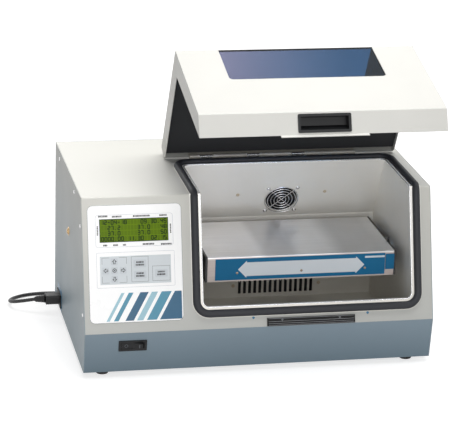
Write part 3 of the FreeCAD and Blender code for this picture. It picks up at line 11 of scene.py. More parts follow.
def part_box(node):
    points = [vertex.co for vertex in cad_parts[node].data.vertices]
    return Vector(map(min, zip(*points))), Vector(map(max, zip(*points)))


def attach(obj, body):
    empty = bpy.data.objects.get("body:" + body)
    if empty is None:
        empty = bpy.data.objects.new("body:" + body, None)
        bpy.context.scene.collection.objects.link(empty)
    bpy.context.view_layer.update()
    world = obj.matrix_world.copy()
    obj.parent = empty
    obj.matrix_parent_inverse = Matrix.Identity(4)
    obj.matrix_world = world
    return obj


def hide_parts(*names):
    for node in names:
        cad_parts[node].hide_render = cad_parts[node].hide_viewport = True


# Benchtop incubator with its lid open: finishes, printed panel, gasket, wires, springs, screws and mains lead.
# Metres, +Z up, the front faces -Y. Solids come from the frame; what is made here rides on its bodies.

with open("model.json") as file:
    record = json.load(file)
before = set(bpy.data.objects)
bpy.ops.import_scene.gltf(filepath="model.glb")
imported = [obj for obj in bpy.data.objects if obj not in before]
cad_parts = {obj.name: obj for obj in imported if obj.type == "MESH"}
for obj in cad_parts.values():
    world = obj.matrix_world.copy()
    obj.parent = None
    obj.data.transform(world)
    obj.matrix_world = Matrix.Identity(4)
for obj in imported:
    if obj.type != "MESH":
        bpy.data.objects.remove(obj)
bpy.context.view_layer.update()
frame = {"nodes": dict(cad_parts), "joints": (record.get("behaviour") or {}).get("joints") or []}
nodes = frame["nodes"]
joints = {joint["name"]: joint for joint in frame["joints"]}
random.seed(7)
mm = 0.001

caseLow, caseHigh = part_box("left_side_panel")
case = {
    "noseRise": 82 * mm,
    "shoulderSet": 70 * mm,
    "apronSet": 12.5 * mm,
    "bendRadius": 9 * mm,  # of soft things that lie over the shoulder
}
halfWidth = -caseLow.x
noseY, rearY = caseLow.y, caseHigh.y
baseZ, topZ = caseLow.z, caseHigh.z
noseZ = baseZ + case["noseRise"]
shoulderY = noseY + case["shoulderSet"]
frontLength = math.hypot(case["shoulderSet"], topZ - noseZ)
frontTilt = math.atan2(case["shoulderSet"], topZ - noseZ)

mouth = {
    "left": -112 * mm,
    "right": 298 * mm,
    "bottom": 42 * mm,  # up the front slope from the nose line
    "back": 183 * mm,  # behind the shoulder
    "corner": 12 * mm,
}

xAxis, zAxis = np.array([1.0, 0.0, 0.0]), np.array([0.0, 0.0, 1.0])

# Places

def planeFrom(origin, upTo):
    # A flat face that runs along x: its origin, x, the way up it and the way out of it.
    origin = np.array(origin, float)
    rise = np.array(upTo, float) - origin
    rise /= np.linalg.norm(rise)
    across = xAxis
    return {"origin": origin, "across": across, "rise": rise, "out": np.cross(across, rise)}


def onPlane(points, plane):
    # Local (x, up, out) points of a face as points of the frame.
    points = np.asarray(points, float)
    return (plane["origin"] + points[..., 0:1] * plane["across"] + points[..., 1:2] * plane["rise"]
            + points[..., 2:3] * plane["out"])


frontPlane = planeFrom((0, noseY, noseZ), (0, shoulderY, topZ))
apronPlane = planeFrom((0, noseY + case["apronSet"], baseZ), (0, noseY, noseZ))
leftPlane = {"origin": np.array([-halfWidth, noseY, baseZ]), "across": np.array([0.0, -1.0, 0.0]),
             "rise": zAxis, "out": np.array([-1.0, 0.0, 0.0])}


def overShoulder(across, along, height):
    # Points on the casing's skin: along runs up the front slope and then back over the top, and height is
    # out of the skin. Round the shoulder the way is an arc about a centre under the skin.
    across, along, height = np.broadcast_arrays(across, along, height)
    radius = case["bendRadius"]
    bend = math.pi / 2 - frontTilt
    reach = radius * math.tan(bend / 2)  # where the arc starts and ends, from the shoulder
    slope = np.array([math.sin(frontTilt), math.cos(frontTilt)])
    out = np.array([-slope[1], slope[0]])
    corner = np.array([shoulderY, topZ])
    center = corner - reach * slope - radius * out
    turn = np.clip((along - (frontLength - reach)) / (2 * reach), 0, 1) * bend
    way = np.stack([out[0] * np.cos(turn) + slope[0] * np.sin(turn),
                    out[1] * np.cos(turn) + slope[1] * np.sin(turn)], axis=-1)
    place = center + (radius + height)[..., None] * way
    before = np.minimum(along - (frontLength - reach), 0)[..., None] * slope
    after = np.maximum(along - (frontLength + reach), 0)[..., None] * np.array([1.0, 0.0])
    place = place + before + after
    return np.stack([across, place[..., 0], place[..., 1]], axis=-1)


# Meshes

def fullTurn(steps):
    # Angles evenly round a circle, the first not repeated.
    return np.linspace(0, 2 * math.pi, steps, endpoint=False)


def inScene(name, data):
    # An object at the origin that holds the data, in the scene.
    item = bpy.data.objects.new(name, data)
    bpy.context.scene.collection.objects.link(item)
    return item


def gridFaces(rows, columns, wrapRows=False, wrapColumns=False):
    # Quads between neighbouring points of a grid that is stored row by row.
    row = np.arange(rows if wrapRows else rows - 1)
    column = np.arange(columns if wrapColumns else columns - 1)
    a, b = np.meshgrid(row, column, indexing="ij")
    nextA = (a + 1) % rows
    nextB = (b + 1) % columns
    quads = np.stack([a * columns + b, nextA * columns + b, nextA * columns + nextB, a * columns + nextB], axis=-1)
    return quads.reshape(-1, 4).tolist()


def newPiece(name, points, faces, material, body, sharp=35):
    # A mesh object at the origin, with its normals outward and its edges sharp past an angle in degrees.
    mesh = bpy.data.meshes.new(name)
    mesh.from_pydata(np.asarray(points, float).reshape(-1, 3).tolist(), [], faces)
    work = bmesh.new()
    work.from_mesh(mesh)
    bmesh.ops.remove_doubles(work, verts=work.verts, dist=1e-6)
    bmesh.ops.recalc_face_normals(work, faces=work.faces)
    work.to_mesh(mesh)
    work.free()
    mesh.shade_smooth()
    mesh.set_sharp_from_angle(angle=math.radians(sharp))
    mesh.materials.append(material)
    piece = inScene(name, mesh)
    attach(piece, body)
    return piece


def joined(parts):
    # Several (points, faces) surfaces as one.
    points = []
    faces = []
    for partPoints, partFaces in parts:
        start = sum(len(group) for group in points)
        points.append(np.asarray(partPoints, float).reshape(-1, 3))
        faces += [[start + index for index in face] for face in partFaces]
    return np.concatenate(points), faces


def tubeAlong(path, radius, sides=10, closed=False, reference=(0.0, 0.0, 1.0)):
    # A round tube: circles square to the path, set out from a reference direction.
    path = np.asarray(path, float)
    ahead = np.roll(path, -1, axis=0) - np.roll(path, 1, axis=0) if closed else np.gradient(path, axis=0)
    ahead /= np.linalg.norm(ahead, axis=1, keepdims=True)
    first = np.cross(ahead, np.array(reference, float))
    first /= np.linalg.norm(first, axis=1, keepdims=True)
    second = np.cross(first, ahead)
    turn = fullTurn(sides)
    ring = first[:, None] * np.cos(turn)[None, :, None] + second[:, None] * np.sin(turn)[None, :, None]
    points = path[:, None] + radius * ring
    faces = gridFaces(len(path), sides, closed, True)
    if not closed:
        last = (len(path) - 1) * sides
        faces.append(list(range(sides)))
        faces.append(list(range(last, last + sides)))
    return points.reshape(-1, 3), faces


def turned(profile, center, axis, sides=28):
    # A lathe shape: a profile of (radius, height) points carried round an axis that starts at center.
    profile = np.array(profile, float)
    axis = np.array(axis, float) / np.linalg.norm(axis)
    helper = zAxis if abs(axis[2]) < 0.9 else xAxis
    first = np.cross(axis, helper)
    first /= np.linalg.norm(first)
    second = np.cross(axis, first)
    turn = fullTurn(sides)
    ring = first * np.cos(turn)[:, None] + second * np.sin(turn)[:, None]
    points = np.array(center, float) + profile[:, None, 0:1] * ring[None] + profile[:, None, 1:2] * axis
    return points.reshape(-1, 3), gridFaces(len(profile), sides, False, True)


def plateOn(plane, outline, low, high):
    # A flat outline on a face, raised from low to high, as a closed prism.
    outline = np.array(outline, float)
    count = len(outline)
    bottom = np.column_stack([outline, np.full(count, low)])
    top = np.column_stack([outline, np.full(count, high)])
    faces = gridFaces(2, count, False, True)
    faces += [list(range(count)), list(range(count, 2 * count))]
    return onPlane(np.concatenate([bottom, top]), plane), faces


def rectangle(left, low, right, high):
    return [(left, low), (right, low), (right, high), (left, high)]


def roundedRectangle(left, low, right, high, radius, steps=6):
    # Corners as quarter circles, going round once.
    turn = np.linspace(0, math.pi / 2, steps)
    corners = [(right - radius, high - radius, 0), (left + radius, high - radius, 1),
               (left + radius, low + radius, 2), (right - radius, low + radius, 3)]
    outline = []
    for x, y, quarter in corners:
        angle = turn + quarter * math.pi / 2
        outline += list(zip(x + radius * np.cos(angle), y + radius * np.sin(angle)))
    return outline


def strokes(points, width, closed=False):
    # Thin rectangles along a line of points, as a printed line.
    points = np.array(points, float)
    ends = np.roll(points, -1, axis=0) if closed else points[1:]
    starts = points if closed else points[:-1]
    shapes = []
    for start, end in zip(starts, ends):
        way = (end - start) / np.linalg.norm(end - start)
        side = np.array([-way[1], way[0]]) * width / 2
        start = start - way * width / 2
        end = end + way * width / 2
        shapes.append([start - side, end - side, end + side, start + side])
    return shapes


def printOn(name, plane, shapes, lift, material, body, thickness=0.05 * mm):
    # Ink on a face: each flat shape is a thin closed plate.
    parts = [plateOn(plane, shape, lift, lift + thickness) for shape in shapes]
    return newPiece(name, *joined(parts), material, body, sharp=20)


# Shader nodes

def linear(red, green, blue):
    # A colour written in screen values 0 to 255, as the shader wants it.
    values = []
    for value in (red, green, blue):
        share = value / 255
        values.append(share / 12.92 if share <= 0.04045 else ((share + 0.055) / 1.055) ** 2.4)
    return (*values, 1.0)


def newGroup(name, inputs, outputs):
    # A shader group with named sockets; inputs hold (name, kind, value).
    tree = bpy.data.node_groups.new(name, "ShaderNodeTree")
    for label, kind, value in inputs:
        socket = tree.interface.new_socket(label, in_out="INPUT", socket_type=kind)
        if value is not None:
            socket.default_value = value
    for label, kind in outputs:
        tree.interface.new_socket(label, in_out="OUTPUT", socket_type=kind)
    return tree, tree.nodes.new("NodeGroupInput"), tree.nodes.new("NodeGroupOutput")


def mathNode(tree, operation, first, second):
    node = tree.nodes.new("ShaderNodeMath")
    node.operation = operation
    for index, value in enumerate((first, second)):
        if isinstance(value, (int, float)):
            node.inputs[index].default_value = value
        else:
            tree.links.new(value, node.inputs[index])
    return node.outputs[0]


def mixColors(tree, factor, first, second, blend="MIX"):
    node = tree.nodes.new("ShaderNodeMix")
    node.data_type = "RGBA"
    node.blend_type = blend
    sockets = (node.inputs[0], node.inputs[6], node.inputs[7])
    for socket, value in zip(sockets, (factor, first, second)):
        if isinstance(value, (int, float, tuple)):
            socket.default_value = value
        else:
            tree.links.new(value, socket)
    return node.outputs[2]


def rangeNode(tree, value, fromLow, fromHigh, toLow, toHigh):
    node = tree.nodes.new("ShaderNodeMapRange")
    tree.links.new(value, node.inputs[0])
    for index, limit in enumerate((fromLow, fromHigh, toLow, toHigh)):
        if isinstance(limit, (int, float)):
            node.inputs[index + 1].default_value = limit
        else:
            tree.links.new(limit, node.inputs[index + 1])
    return node.outputs[0]


def greyOf(tree, value):
    # One value as all three parts of a colour.
    node = tree.nodes.new("ShaderNodeCombineColor")
    for index in range(3):
        tree.links.new(value, node.inputs[index])
    return node.outputs[0]


def noiseNode(tree, vector, scale, detail=3.0, roughness=0.5):
    node = tree.nodes.new("ShaderNodeTexNoise")
    tree.links.new(vector, node.inputs["Vector"])
    node.inputs["Detail"].default_value = detail
    node.inputs["Roughness"].default_value = roughness
    if isinstance(scale, (int, float)):
        node.inputs["Scale"].default_value = scale
    else:
        tree.links.new(scale, node.inputs["Scale"])
    return node.outputs[0]


def grainGroup():
    # Fine even grain, as of powder paint or moulded plastic: two noises, one twice as fine.
    tree, source, sink = newGroup(
        "surfaceGrain",
        [("Vector", "NodeSocketVector", None), ("Scale", "NodeSocketFloat", 700.0)],
        [("Height", "NodeSocketFloat"), ("Mask", "NodeSocketFloat")])
    coarse = noiseNode(tree, source.outputs["Vector"], source.outputs["Scale"], 2.0)
    double = mathNode(tree, "MULTIPLY", source.outputs["Scale"], 2.3)
    fine = noiseNode(tree, source.outputs["Vector"], double, 2.0)
    height = mathNode(tree, "ADD", mathNode(tree, "MULTIPLY", coarse, 0.65), mathNode(tree, "MULTIPLY", fine, 0.35))
    tree.links.new(height, sink.inputs["Height"])
    tree.links.new(rangeNode(tree, coarse, 0.35, 0.65, 0.0, 1.0), sink.inputs["Mask"])
    return tree


def handlingGroup():
    # Slow cloudy change of tone and sheen, as handling and cleaning leave on a surface.
    tree, source, sink = newGroup(
        "handlingMarks",
        [("Vector", "NodeSocketVector", None), ("Scale", "NodeSocketFloat", 9.0),
         ("Amount", "NodeSocketFloat", 0.05), ("Roughness", "NodeSocketFloat", 0.4),
         ("Spread", "NodeSocketFloat", 0.06)],
        [("Shade", "NodeSocketColor"), ("Roughness", "NodeSocketFloat")])
    cloud = noiseNode(tree, source.outputs["Vector"], source.outputs["Scale"], 4.0, 0.6)
    dark = mathNode(tree, "SUBTRACT", 1.0, source.outputs["Amount"])
    shade = rangeNode(tree, cloud, 0.3, 0.7, dark, 1.0)
    tree.links.new(greyOf(tree, shade), sink.inputs["Shade"])
    low = mathNode(tree, "SUBTRACT", source.outputs["Roughness"], source.outputs["Spread"])
    high = mathNode(tree, "ADD", source.outputs["Roughness"], source.outputs["Spread"])
    tree.links.new(rangeNode(tree, cloud, 0.3, 0.7, low, high), sink.inputs["Roughness"])
    return tree


def brushedGroup():
    # Long fine scratches along one direction: noise squeezed many times across it.
    tree, source, sink = newGroup(
        "brushedLines",
        [("Vector", "NodeSocketVector", None), ("Squeeze", "NodeSocketVector", (4.0, 900.0, 900.0)),
         ("Low", "NodeSocketFloat", 0.25), ("High", "NodeSocketFloat", 0.4)],
        [("Height", "NodeSocketFloat"), ("Roughness", "NodeSocketFloat")])
    node = tree.nodes.new("ShaderNodeVectorMath")
    node.operation = "MULTIPLY"
    tree.links.new(source.outputs["Vector"], node.inputs[0])
    tree.links.new(source.outputs["Squeeze"], node.inputs[1])
    lines = noiseNode(tree, node.outputs[0], 1.0, 3.0, 0.65)
    tree.links.new(lines, sink.inputs["Height"])
    roughness = rangeNode(tree, lines, 0.3, 0.7, source.outputs["Low"], source.outputs["High"])
    tree.links.new(roughness, sink.inputs["Roughness"])
    return tree


def edgeGroup():
    # Softened edges of folded sheet: the normal rounded over a small radius, and where it turns as a mask.
    tree, source, sink = newGroup("softEdges", [("Radius", "NodeSocketFloat", 0.0008)],
                                  [("Mask", "NodeSocketFloat"), ("Normal", "NodeSocketVector")])
    bevel = tree.nodes.new("ShaderNodeBevel")
    bevel.samples = 4
    tree.links.new(source.outputs["Radius"], bevel.inputs["Radius"])
    shape = tree.nodes.new("ShaderNodeNewGeometry")
    dot = tree.nodes.new("ShaderNodeVectorMath")
    dot.operation = "DOT_PRODUCT"
    tree.links.new(bevel.outputs[0], dot.inputs[0])
    tree.links.new(shape.outputs["Normal"], dot.inputs[1])
    tree.links.new(rangeNode(tree, dot.outputs["Value"], 0.99, 0.8, 0.0, 1.0), sink.inputs["Mask"])
    tree.links.new(bevel.outputs[0], sink.inputs["Normal"])
    return tree


groups = {"grain": grainGroup(), "handling": handlingGroup(), "brushed": brushedGroup(), "edge": edgeGroup()}


def addGroup(tree, key, vector, **values):
    node = tree.nodes.new("ShaderNodeGroup")
    node.node_tree = groups[key]
    if vector is not None:
        tree.links.new(vector, node.inputs["Vector"])
    for label, value in values.items():
        node.inputs[label].default_value = value
    return node


def startMaterial(name, plain=()):
    # A material with its Principled shader and Object coordinates; plain holds values set on its sockets.
    material = bpy.data.materials.new(name)
    material.use_nodes = True
    tree = material.node_tree
    shader = tree.nodes["Principled BSDF"]
    for label, value in dict(plain).items():
        shader.inputs[label].default_value = value
    place = tree.nodes.new("ShaderNodeTexCoord").outputs["Object"]
    return material, tree, shader, place


def addBump(tree, shader, height, strength, distance, normal=None):
    bump = tree.nodes.new("ShaderNodeBump")
    if normal is not None:
        tree.links.new(normal, bump.inputs["Normal"])
    bump.inputs["Strength"].default_value = strength
    bump.inputs["Distance"].default_value = distance
    tree.links.new(height, bump.inputs["Height"])
    tree.links.new(bump.outputs[0], shader.inputs["Normal"])


def setSurface(tree, shader, tone, shade, roughness):
    # The tone times a shade as the base colour, and the sheen.
    tree.links.new(mixColors(tree, 1.0, tone, shade, "MULTIPLY"), shader.inputs["Base Color"])
    tree.links.new(roughness, shader.inputs["Roughness"])


def coatedMaterial(name, color, roughness, grainScale, bumpHeight, spread=0.05, amount=0.04, plain=()):
    # Paint, plastic, rubber or foam: one colour with cloudy shade, its sheen and a fine grain.
    material, tree, shader, place = startMaterial(name, plain)
    handling = addGroup(tree, "handling", place, Amount=amount, Roughness=roughness, Spread=spread)
    grain = addGroup(tree, "grain", place, Scale=grainScale)
    setSurface(tree, shader, linear(*color), handling.outputs["Shade"], handling.outputs["Roughness"])
    addBump(tree, shader, grain.outputs["Height"], 0.6, bumpHeight)
    return material


def metalMaterial(name, color, squeeze, low, high, bumpHeight=0.00003, amount=0.05):
    # Bare metal with brushed lines; squeeze is largest across the lines.
    material, tree, shader, place = startMaterial(name, {"Metallic": 1.0})
    handling = addGroup(tree, "handling", place, Amount=amount, Scale=6.0)
    brushed = addGroup(tree, "brushed", place, Squeeze=squeeze, Low=low, High=high)
    setSurface(tree, shader, linear(*color), handling.outputs["Shade"], brushed.outputs["Roughness"])
    addBump(tree, shader, brushed.outputs["Height"], 0.5, bumpHeight)
    return material


def sheetPaint(name, shadedLowColor, litHighColor, lowZ, highZ, roughness, worn=0.25):
    # Painted sheet metal, darker low down and lighter high up as painted shade and light by height; its folded edges
    # are soft and worn a little lighter.
    material, tree, shader, place = startMaterial(name)
    height = tree.nodes.new("ShaderNodeSeparateXYZ")
    tree.links.new(place, height.inputs[0])
    share = rangeNode(tree, height.outputs[2], lowZ, highZ, 0.0, 1.0)
    tone = mixColors(tree, share, linear(*shadedLowColor), linear(*litHighColor))
    handling = addGroup(tree, "handling", place, Amount=0.03, Roughness=roughness, Spread=0.04)
    grain = addGroup(tree, "grain", place, Scale=900.0)
    edge = addGroup(tree, "edge", None)
    wear = mathNode(tree, "MULTIPLY", mathNode(tree, "MULTIPLY", edge.outputs["Mask"], grain.outputs["Mask"]), worn)
    tone = mixColors(tree, wear, tone, linear(236, 238, 240))
    setSurface(tree, shader, tone, handling.outputs["Shade"], handling.outputs["Roughness"])
    addBump(tree, shader, grain.outputs["Height"], 0.5, 0.00004, edge.outputs["Normal"])
    return material


def linerMetal(name, shadedLowColor, litHighColor, lowZ, highZ, squeeze):
    # Thin brushed sheet, darker towards the bottom as painted shade; part of it scatters light, as dull steel does.
    material, tree, shader, place = startMaterial(name, {"Metallic": 0.3})
    height = tree.nodes.new("ShaderNodeSeparateXYZ")
    tree.links.new(place, height.inputs[0])
    share = rangeNode(tree, height.outputs[2], lowZ, highZ, 0.0, 1.0)
    tone = mixColors(tree, share, linear(*shadedLowColor), linear(*litHighColor))
    handling = addGroup(tree, "handling", place, Amount=0.06, Scale=6.0)
    brushed = addGroup(tree, "brushed", place, Squeeze=squeeze, Low=0.34, High=0.5)
    setSurface(tree, shader, tone, handling.outputs["Shade"], brushed.outputs["Roughness"])
    addBump(tree, shader, brushed.outputs["Height"], 0.5, 0.00003)
    return material


def platformMetal(name):
    # Brushed along its length; its top carries broad soft light and dark bands by place in x as painted reflections,
    # and its front a darker, warmer tone as painted shade.
    material, tree, shader, place = startMaterial(name, {"Metallic": 0.55})
    split = tree.nodes.new("ShaderNodeSeparateXYZ")
    tree.links.new(place, split.inputs[0])
    ramp = tree.nodes.new("ShaderNodeValToRGB")
    ramp.color_ramp.interpolation = "EASE"
    # Painted reflections: the brightness of the bands across the top, by share of the way along x.
    paintedReflectionBands = [(0.0, 0.97), (0.27, 0.95), (0.33, 0.74), (0.45, 0.76), (0.51, 0.9), (0.64, 0.84), (0.76, 0.58),
              (0.92, 0.6), (1.0, 0.8)]
    while len(ramp.color_ramp.elements) < len(paintedReflectionBands):
        ramp.color_ramp.elements.new(0.5)
    for element, (position, shade) in zip(ramp.color_ramp.elements, paintedReflectionBands):
        element.position = position
        element.color = (shade, shade * 0.975, shade * 0.955, 1)
    tree.links.new(rangeNode(tree, split.outputs[0], -0.092, 0.278, 0.0, 1.0), ramp.inputs[0])
    # The front, below the top, takes a darker warmer tone than the top: painted shade.
    onTop = rangeNode(tree, split.outputs[2], 0.2035, 0.2085, 0.0, 1.0)
    tone = mixColors(tree, onTop, linear(178, 168, 164), ramp.outputs[0])
    handling = addGroup(tree, "handling", place, Amount=0.08, Scale=7.0)
    brushed = addGroup(tree, "brushed", place, Squeeze=(5.0, 900.0, 900.0), Low=0.28, High=0.42)
    lines = rangeNode(tree, brushed.outputs["Height"], 0.3, 0.7, 0.86, 1.06)
    tone = mixColors(tree, 1.0, tone, handling.outputs["Shade"], "MULTIPLY")
    setSurface(tree, shader, tone, greyOf(tree, lines), brushed.outputs["Roughness"])
    addBump(tree, shader, brushed.outputs["Height"], 0.5, 0.00003)
    return material


def tintedPane(name, leftColor, rightColor, leftX, rightX):
    # Clear sheet that tints what is seen through it, lighter at its left end and deeper towards its right end, which is
    # painted shade.
    material, tree, shader, place = startMaterial(name, {"Transmission Weight": 1.0, "IOR": 1.2})
    across = tree.nodes.new("ShaderNodeSeparateXYZ")
    tree.links.new(place, across.inputs[0])
    share = rangeNode(tree, across.outputs[0], leftX, rightX, 0.0, 1.0)
    tint = mixColors(tree, share, linear(*leftColor), linear(*rightColor))
    handling = addGroup(tree, "handling", place, Amount=0.05, Scale=5.0, Roughness=0.04, Spread=0.02)
    setSurface(tree, shader, tint, handling.outputs["Shade"], handling.outputs["Roughness"])
    return material


print("building materials")
# Painted shade by height: the cover's beige is darker low on its front and lighter on top, and the base's grey-blue
# darker towards the floor.
beigePaint = sheetPaint("beigePaint", (182, 183, 179), (206, 205, 198), noseZ, topZ, 0.42)
lidPaint = sheetPaint("lidPaint", (200, 200, 195), (203, 202, 197), topZ, topZ + 0.2, 0.42)
bluePaint = sheetPaint("greyBluePaint", (104, 123, 135), (130, 147, 159), baseZ, noseZ, 0.42)
# The side panels are grey-blue low down and a lighter neutral grey high up: painted light and shade on one paint.
sidePaint = sheetPaint("sidePaint", (132, 149, 158), (176, 177, 172), baseZ + 0.05, topZ, 0.45)
# The chamber's walls are lighter high up and darker low down, behind the platform: painted shade.
linerSteel = linerMetal("linerSteel", (214, 211, 203), (250, 248, 243), 0.1, 0.34, (900.0, 5.0, 900.0))
platformSteel = platformMetal("platformSteel")
brightSteel = metalMaterial("brightSteel", (225, 225, 226), (300.0, 300.0, 300.0), 0.12, 0.25)
hingeSteel = coatedMaterial("hingeSteel", (206, 201, 191), 0.35, 600.0, 0.00004, amount=0.1,
                            plain={"Metallic": 0.3})
dullSteel = metalMaterial("dullSteel", (170, 173, 176), (40.0, 40.0, 600.0), 0.35, 0.5)
# Galvanised duct coloured nearly black: painted shade, since it is seen only through the slots.
ductPaintedShade = coatedMaterial("ductPaintedShade", (44, 46, 48), 0.6, 500.0, 0.00005, amount=0.15)
screwSteel = metalMaterial("screwSteel", (150, 136, 122), (400.0, 400.0, 400.0), 0.3, 0.45)
sinkAluminium = metalMaterial("sinkAluminium", (214, 216, 218), (700.0, 700.0, 6.0), 0.3, 0.45)
jackBrass = metalMaterial("jackBrass", (214, 184, 140), (400.0, 400.0, 400.0), 0.2, 0.35)
blackRubber = coatedMaterial("blackRubber", (36, 37, 42), 0.55, 500.0, 0.00008, amount=0.12,
                             plain={"Specular IOR Level": 0.35})
footRubber = coatedMaterial("footRubber", (20, 20, 22), 0.6, 500.0, 0.00008, amount=0.12)
blackFoam = coatedMaterial("blackFoam", (38, 39, 42), 0.92, 420.0, 0.0004, amount=0.2)
blackPlastic = coatedMaterial("blackPlastic", (20, 21, 23), 0.42, 800.0, 0.00004, amount=0.1,
                              plain={"Specular IOR Level": 0.3})
latchPlastic = coatedMaterial("latchPlastic", (12, 12, 13), 0.6, 800.0, 0.00002, amount=0.05,
                              plain={"Specular IOR Level": 0.2})
# Light grey coat on the latch strip's ridges: painted highlights on black plastic.
ridgeHighlightGloss = coatedMaterial("ridgeHighlightGloss", (128, 130, 134), 0.2, 800.0, 0.00001, spread=0.03, amount=0.05,
                              plain={"Coat Weight": 0.8, "Coat Roughness": 0.12})
blackMetal = coatedMaterial("blackMetal", (30, 30, 32), 0.4, 900.0, 0.00004, amount=0.1)
fanPlastic = coatedMaterial("fanPlastic", (10, 10, 11), 0.5, 800.0, 0.00004, amount=0.1,
                            plain={"Specular IOR Level": 0.3})
leadJacket = coatedMaterial("leadJacket", (18, 18, 20), 0.45, 650.0, 0.00005, amount=0.1)
insulationFoam = coatedMaterial("insulationFoam", (226, 220, 200), 0.95, 300.0, 0.0005, amount=0.1)
platePaint = coatedMaterial("platePaint", (0, 100, 144), 0.45, 900.0, 0.00002, amount=0.06,
                            plain={"Specular IOR Level": 0.25})
labelBlue = coatedMaterial("labelBlue", (40, 112, 150), 0.3, 900.0, 0.00002, amount=0.06)
panelFilm = coatedMaterial("panelFilm", (252, 252, 252), 0.3, 900.0, 0.00001, amount=0.01)
keyFilm = coatedMaterial("keyFilm", (206, 212, 216), 0.38, 900.0, 0.00002, amount=0.03)
keyCap = coatedMaterial("keyCap", (196, 202, 207), 0.4, 900.0, 0.00003, amount=0.04)
darkInkAndShade = coatedMaterial("darkInkAndShade", (14, 15, 18), 0.6, 900.0, 0.00001, amount=0.08)
faintInk = coatedMaterial("faintInk", (186, 190, 198), 0.5, 900.0, 0.00001, amount=0.05)
greyInk = coatedMaterial("greyInk", (104, 108, 114), 0.5, 900.0, 0.00001, amount=0.08)
whiteInk = coatedMaterial("whiteInk", (214, 221, 227), 0.45, 900.0, 0.00001, amount=0.05)
deepTeal = coatedMaterial("deepTeal", (4, 82, 116), 0.4, 900.0, 0.00001, amount=0.08)
midTeal = coatedMaterial("midTeal", (66, 138, 164), 0.4, 900.0, 0.00001, amount=0.08)
paleTeal = coatedMaterial("paleTeal", (154, 194, 208), 0.4, 900.0, 0.00001, amount=0.05)
displayGreen = coatedMaterial("displayGreen", (104, 134, 6), 0.4, 900.0, 0.00001, amount=0.1,
                              plain={"Specular IOR Level": 0.1})
displayCell = coatedMaterial("displayCell", (92, 119, 6), 0.4, 900.0, 0.00001, amount=0.1,
                             plain={"Specular IOR Level": 0.1})
displayInk = coatedMaterial("displayInk", (26, 44, 20), 0.5, 900.0, 0.00001, amount=0.1,
                            plain={"Specular IOR Level": 0.1})
boardGreen = coatedMaterial("boardGreen", (20, 84, 50), 0.4, 600.0, 0.00005, amount=0.15)
ceramicWhite = coatedMaterial("ceramicWhite", (235, 235, 230), 0.6, 500.0, 0.00004, amount=0.05)
nylonBuff = coatedMaterial("nylonBuff", (196, 182, 160), 0.5, 800.0, 0.00004, amount=0.08)
windowTint = tintedPane("windowTint", (172, 174, 194), (100, 139, 170), -0.05, 0.2)

nodeMaterials = {
    beigePaint: ["top_front_cover"],
    lidPaint: ["lid_shell"],
    bluePaint: ["base_tray", "rear_panel"],
    sidePaint: ["left_side_panel", "right_side_panel"],
    linerSteel: ["chamber_liner"],
    platformSteel: ["platform_tray"],
    hingeSteel: ["hinge_leaf_fixed", "hinge_leaf_lid"],
    brightSteel: ["platform_shafts", "platform_plate_screws", "hinge_pin", "case_screws", "hinge_springs",
                  "fan_guards"],
    ductPaintedShade: ["air_duct"],
    dullSteel: ["partition_wall", "shaft_bearings", "drive_brackets", "drive_motor", "power_supply"],
    sinkAluminium: ["inner_heat_sink", "outer_heat_sink", "drive_pulley", "motor_pulley"],
    jackBrass: ["probe_jack"],
    blackRubber: ["opening_gasket", "rubber_feet", "drive_belt"],
    blackFoam: ["lid_foam"],
    latchPlastic: ["latch_strip"],
    blackPlastic: ["lid_handle", "switch_bezel", "switch_rocker", "power_inlet"],
    blackMetal: ["platform_end_plates"],
    fanPlastic: ["fan_frames", "circulation_fan_impeller", "exhaust_fan_impeller"],
    leadJacket: ["cord_connector", "cord_lead", "cord_coil", "mains_plug"],
    insulationFoam: ["insulation_jacket"],
    platePaint: ["platform_plate"],
    panelFilm: ["control_panel"],
    keyCap: ["key_center", "key_up", "key_down", "key_left", "key_right", "key_timer", "key_speed", "key_run"],
    displayGreen: ["display_window"],
    boardGreen: ["display_module", "control_board"],
    ceramicWhite: ["thermoelectric_modules"],
    windowTint: ["lid_window"],
}
for material, names in nodeMaterials.items():
    for name in names:
        for slot in nodes[name].material_slots:
            slot.material = material

# Camera and light

camera = {
    "place": (-0.89063, -4.04971, 1.62732),
    "yaw": 12.230,  # from straight back towards the right
    "pitch": 18.284,  # down
    "roll": 1.837,
    "lens": 168.64,  # on a sensor 36 mm wide
}


def makeCamera():
    yaw, pitch, roll = (math.radians(camera[key]) for key in ("yaw", "pitch", "roll"))
    ahead = Vector((math.sin(yaw) * math.cos(pitch), math.cos(yaw) * math.cos(pitch), -math.sin(pitch)))
    across = Vector((math.cos(yaw), -math.sin(yaw), 0))
    over = across.cross(ahead)
    acrossRolled = math.cos(roll) * across + math.sin(roll) * over
    overRolled = -math.sin(roll) * across + math.cos(roll) * over
    data = bpy.data.cameras.new("photoCamera")
    data.lens = camera["lens"]
    data.sensor_width = 36
    data.sensor_fit = "HORIZONTAL"
    data.clip_end = 100
    item = inScene("photoCamera", data)
    turn = Matrix((acrossRolled, overRolled, -ahead)).transposed()
    item.matrix_world = Matrix.Translation(camera["place"]) @ turn.to_4x4()
    bpy.context.scene.camera = item


lamps = {
    "overhead": {"place": (0.15, -0.2, 2.2), "aim": (0.0, 0.0, 0.3), "size": 1.4, "power": 40},
    "frontFill": {"place": (-0.15, -2.8, 0.95), "aim": (0.0, 0.0, 0.25), "size": 1.8, "power": 32},
    "rightSide": {"place": (2.4, 0.3, 1.2), "aim": (0.0, 0.0, 0.3), "size": 1.2, "power": 12},
    "rear": {"place": (-0.6, 2.4, 1.6), "aim": (0.0, 0.1, 0.3), "size": 1.4, "power": 16},
}


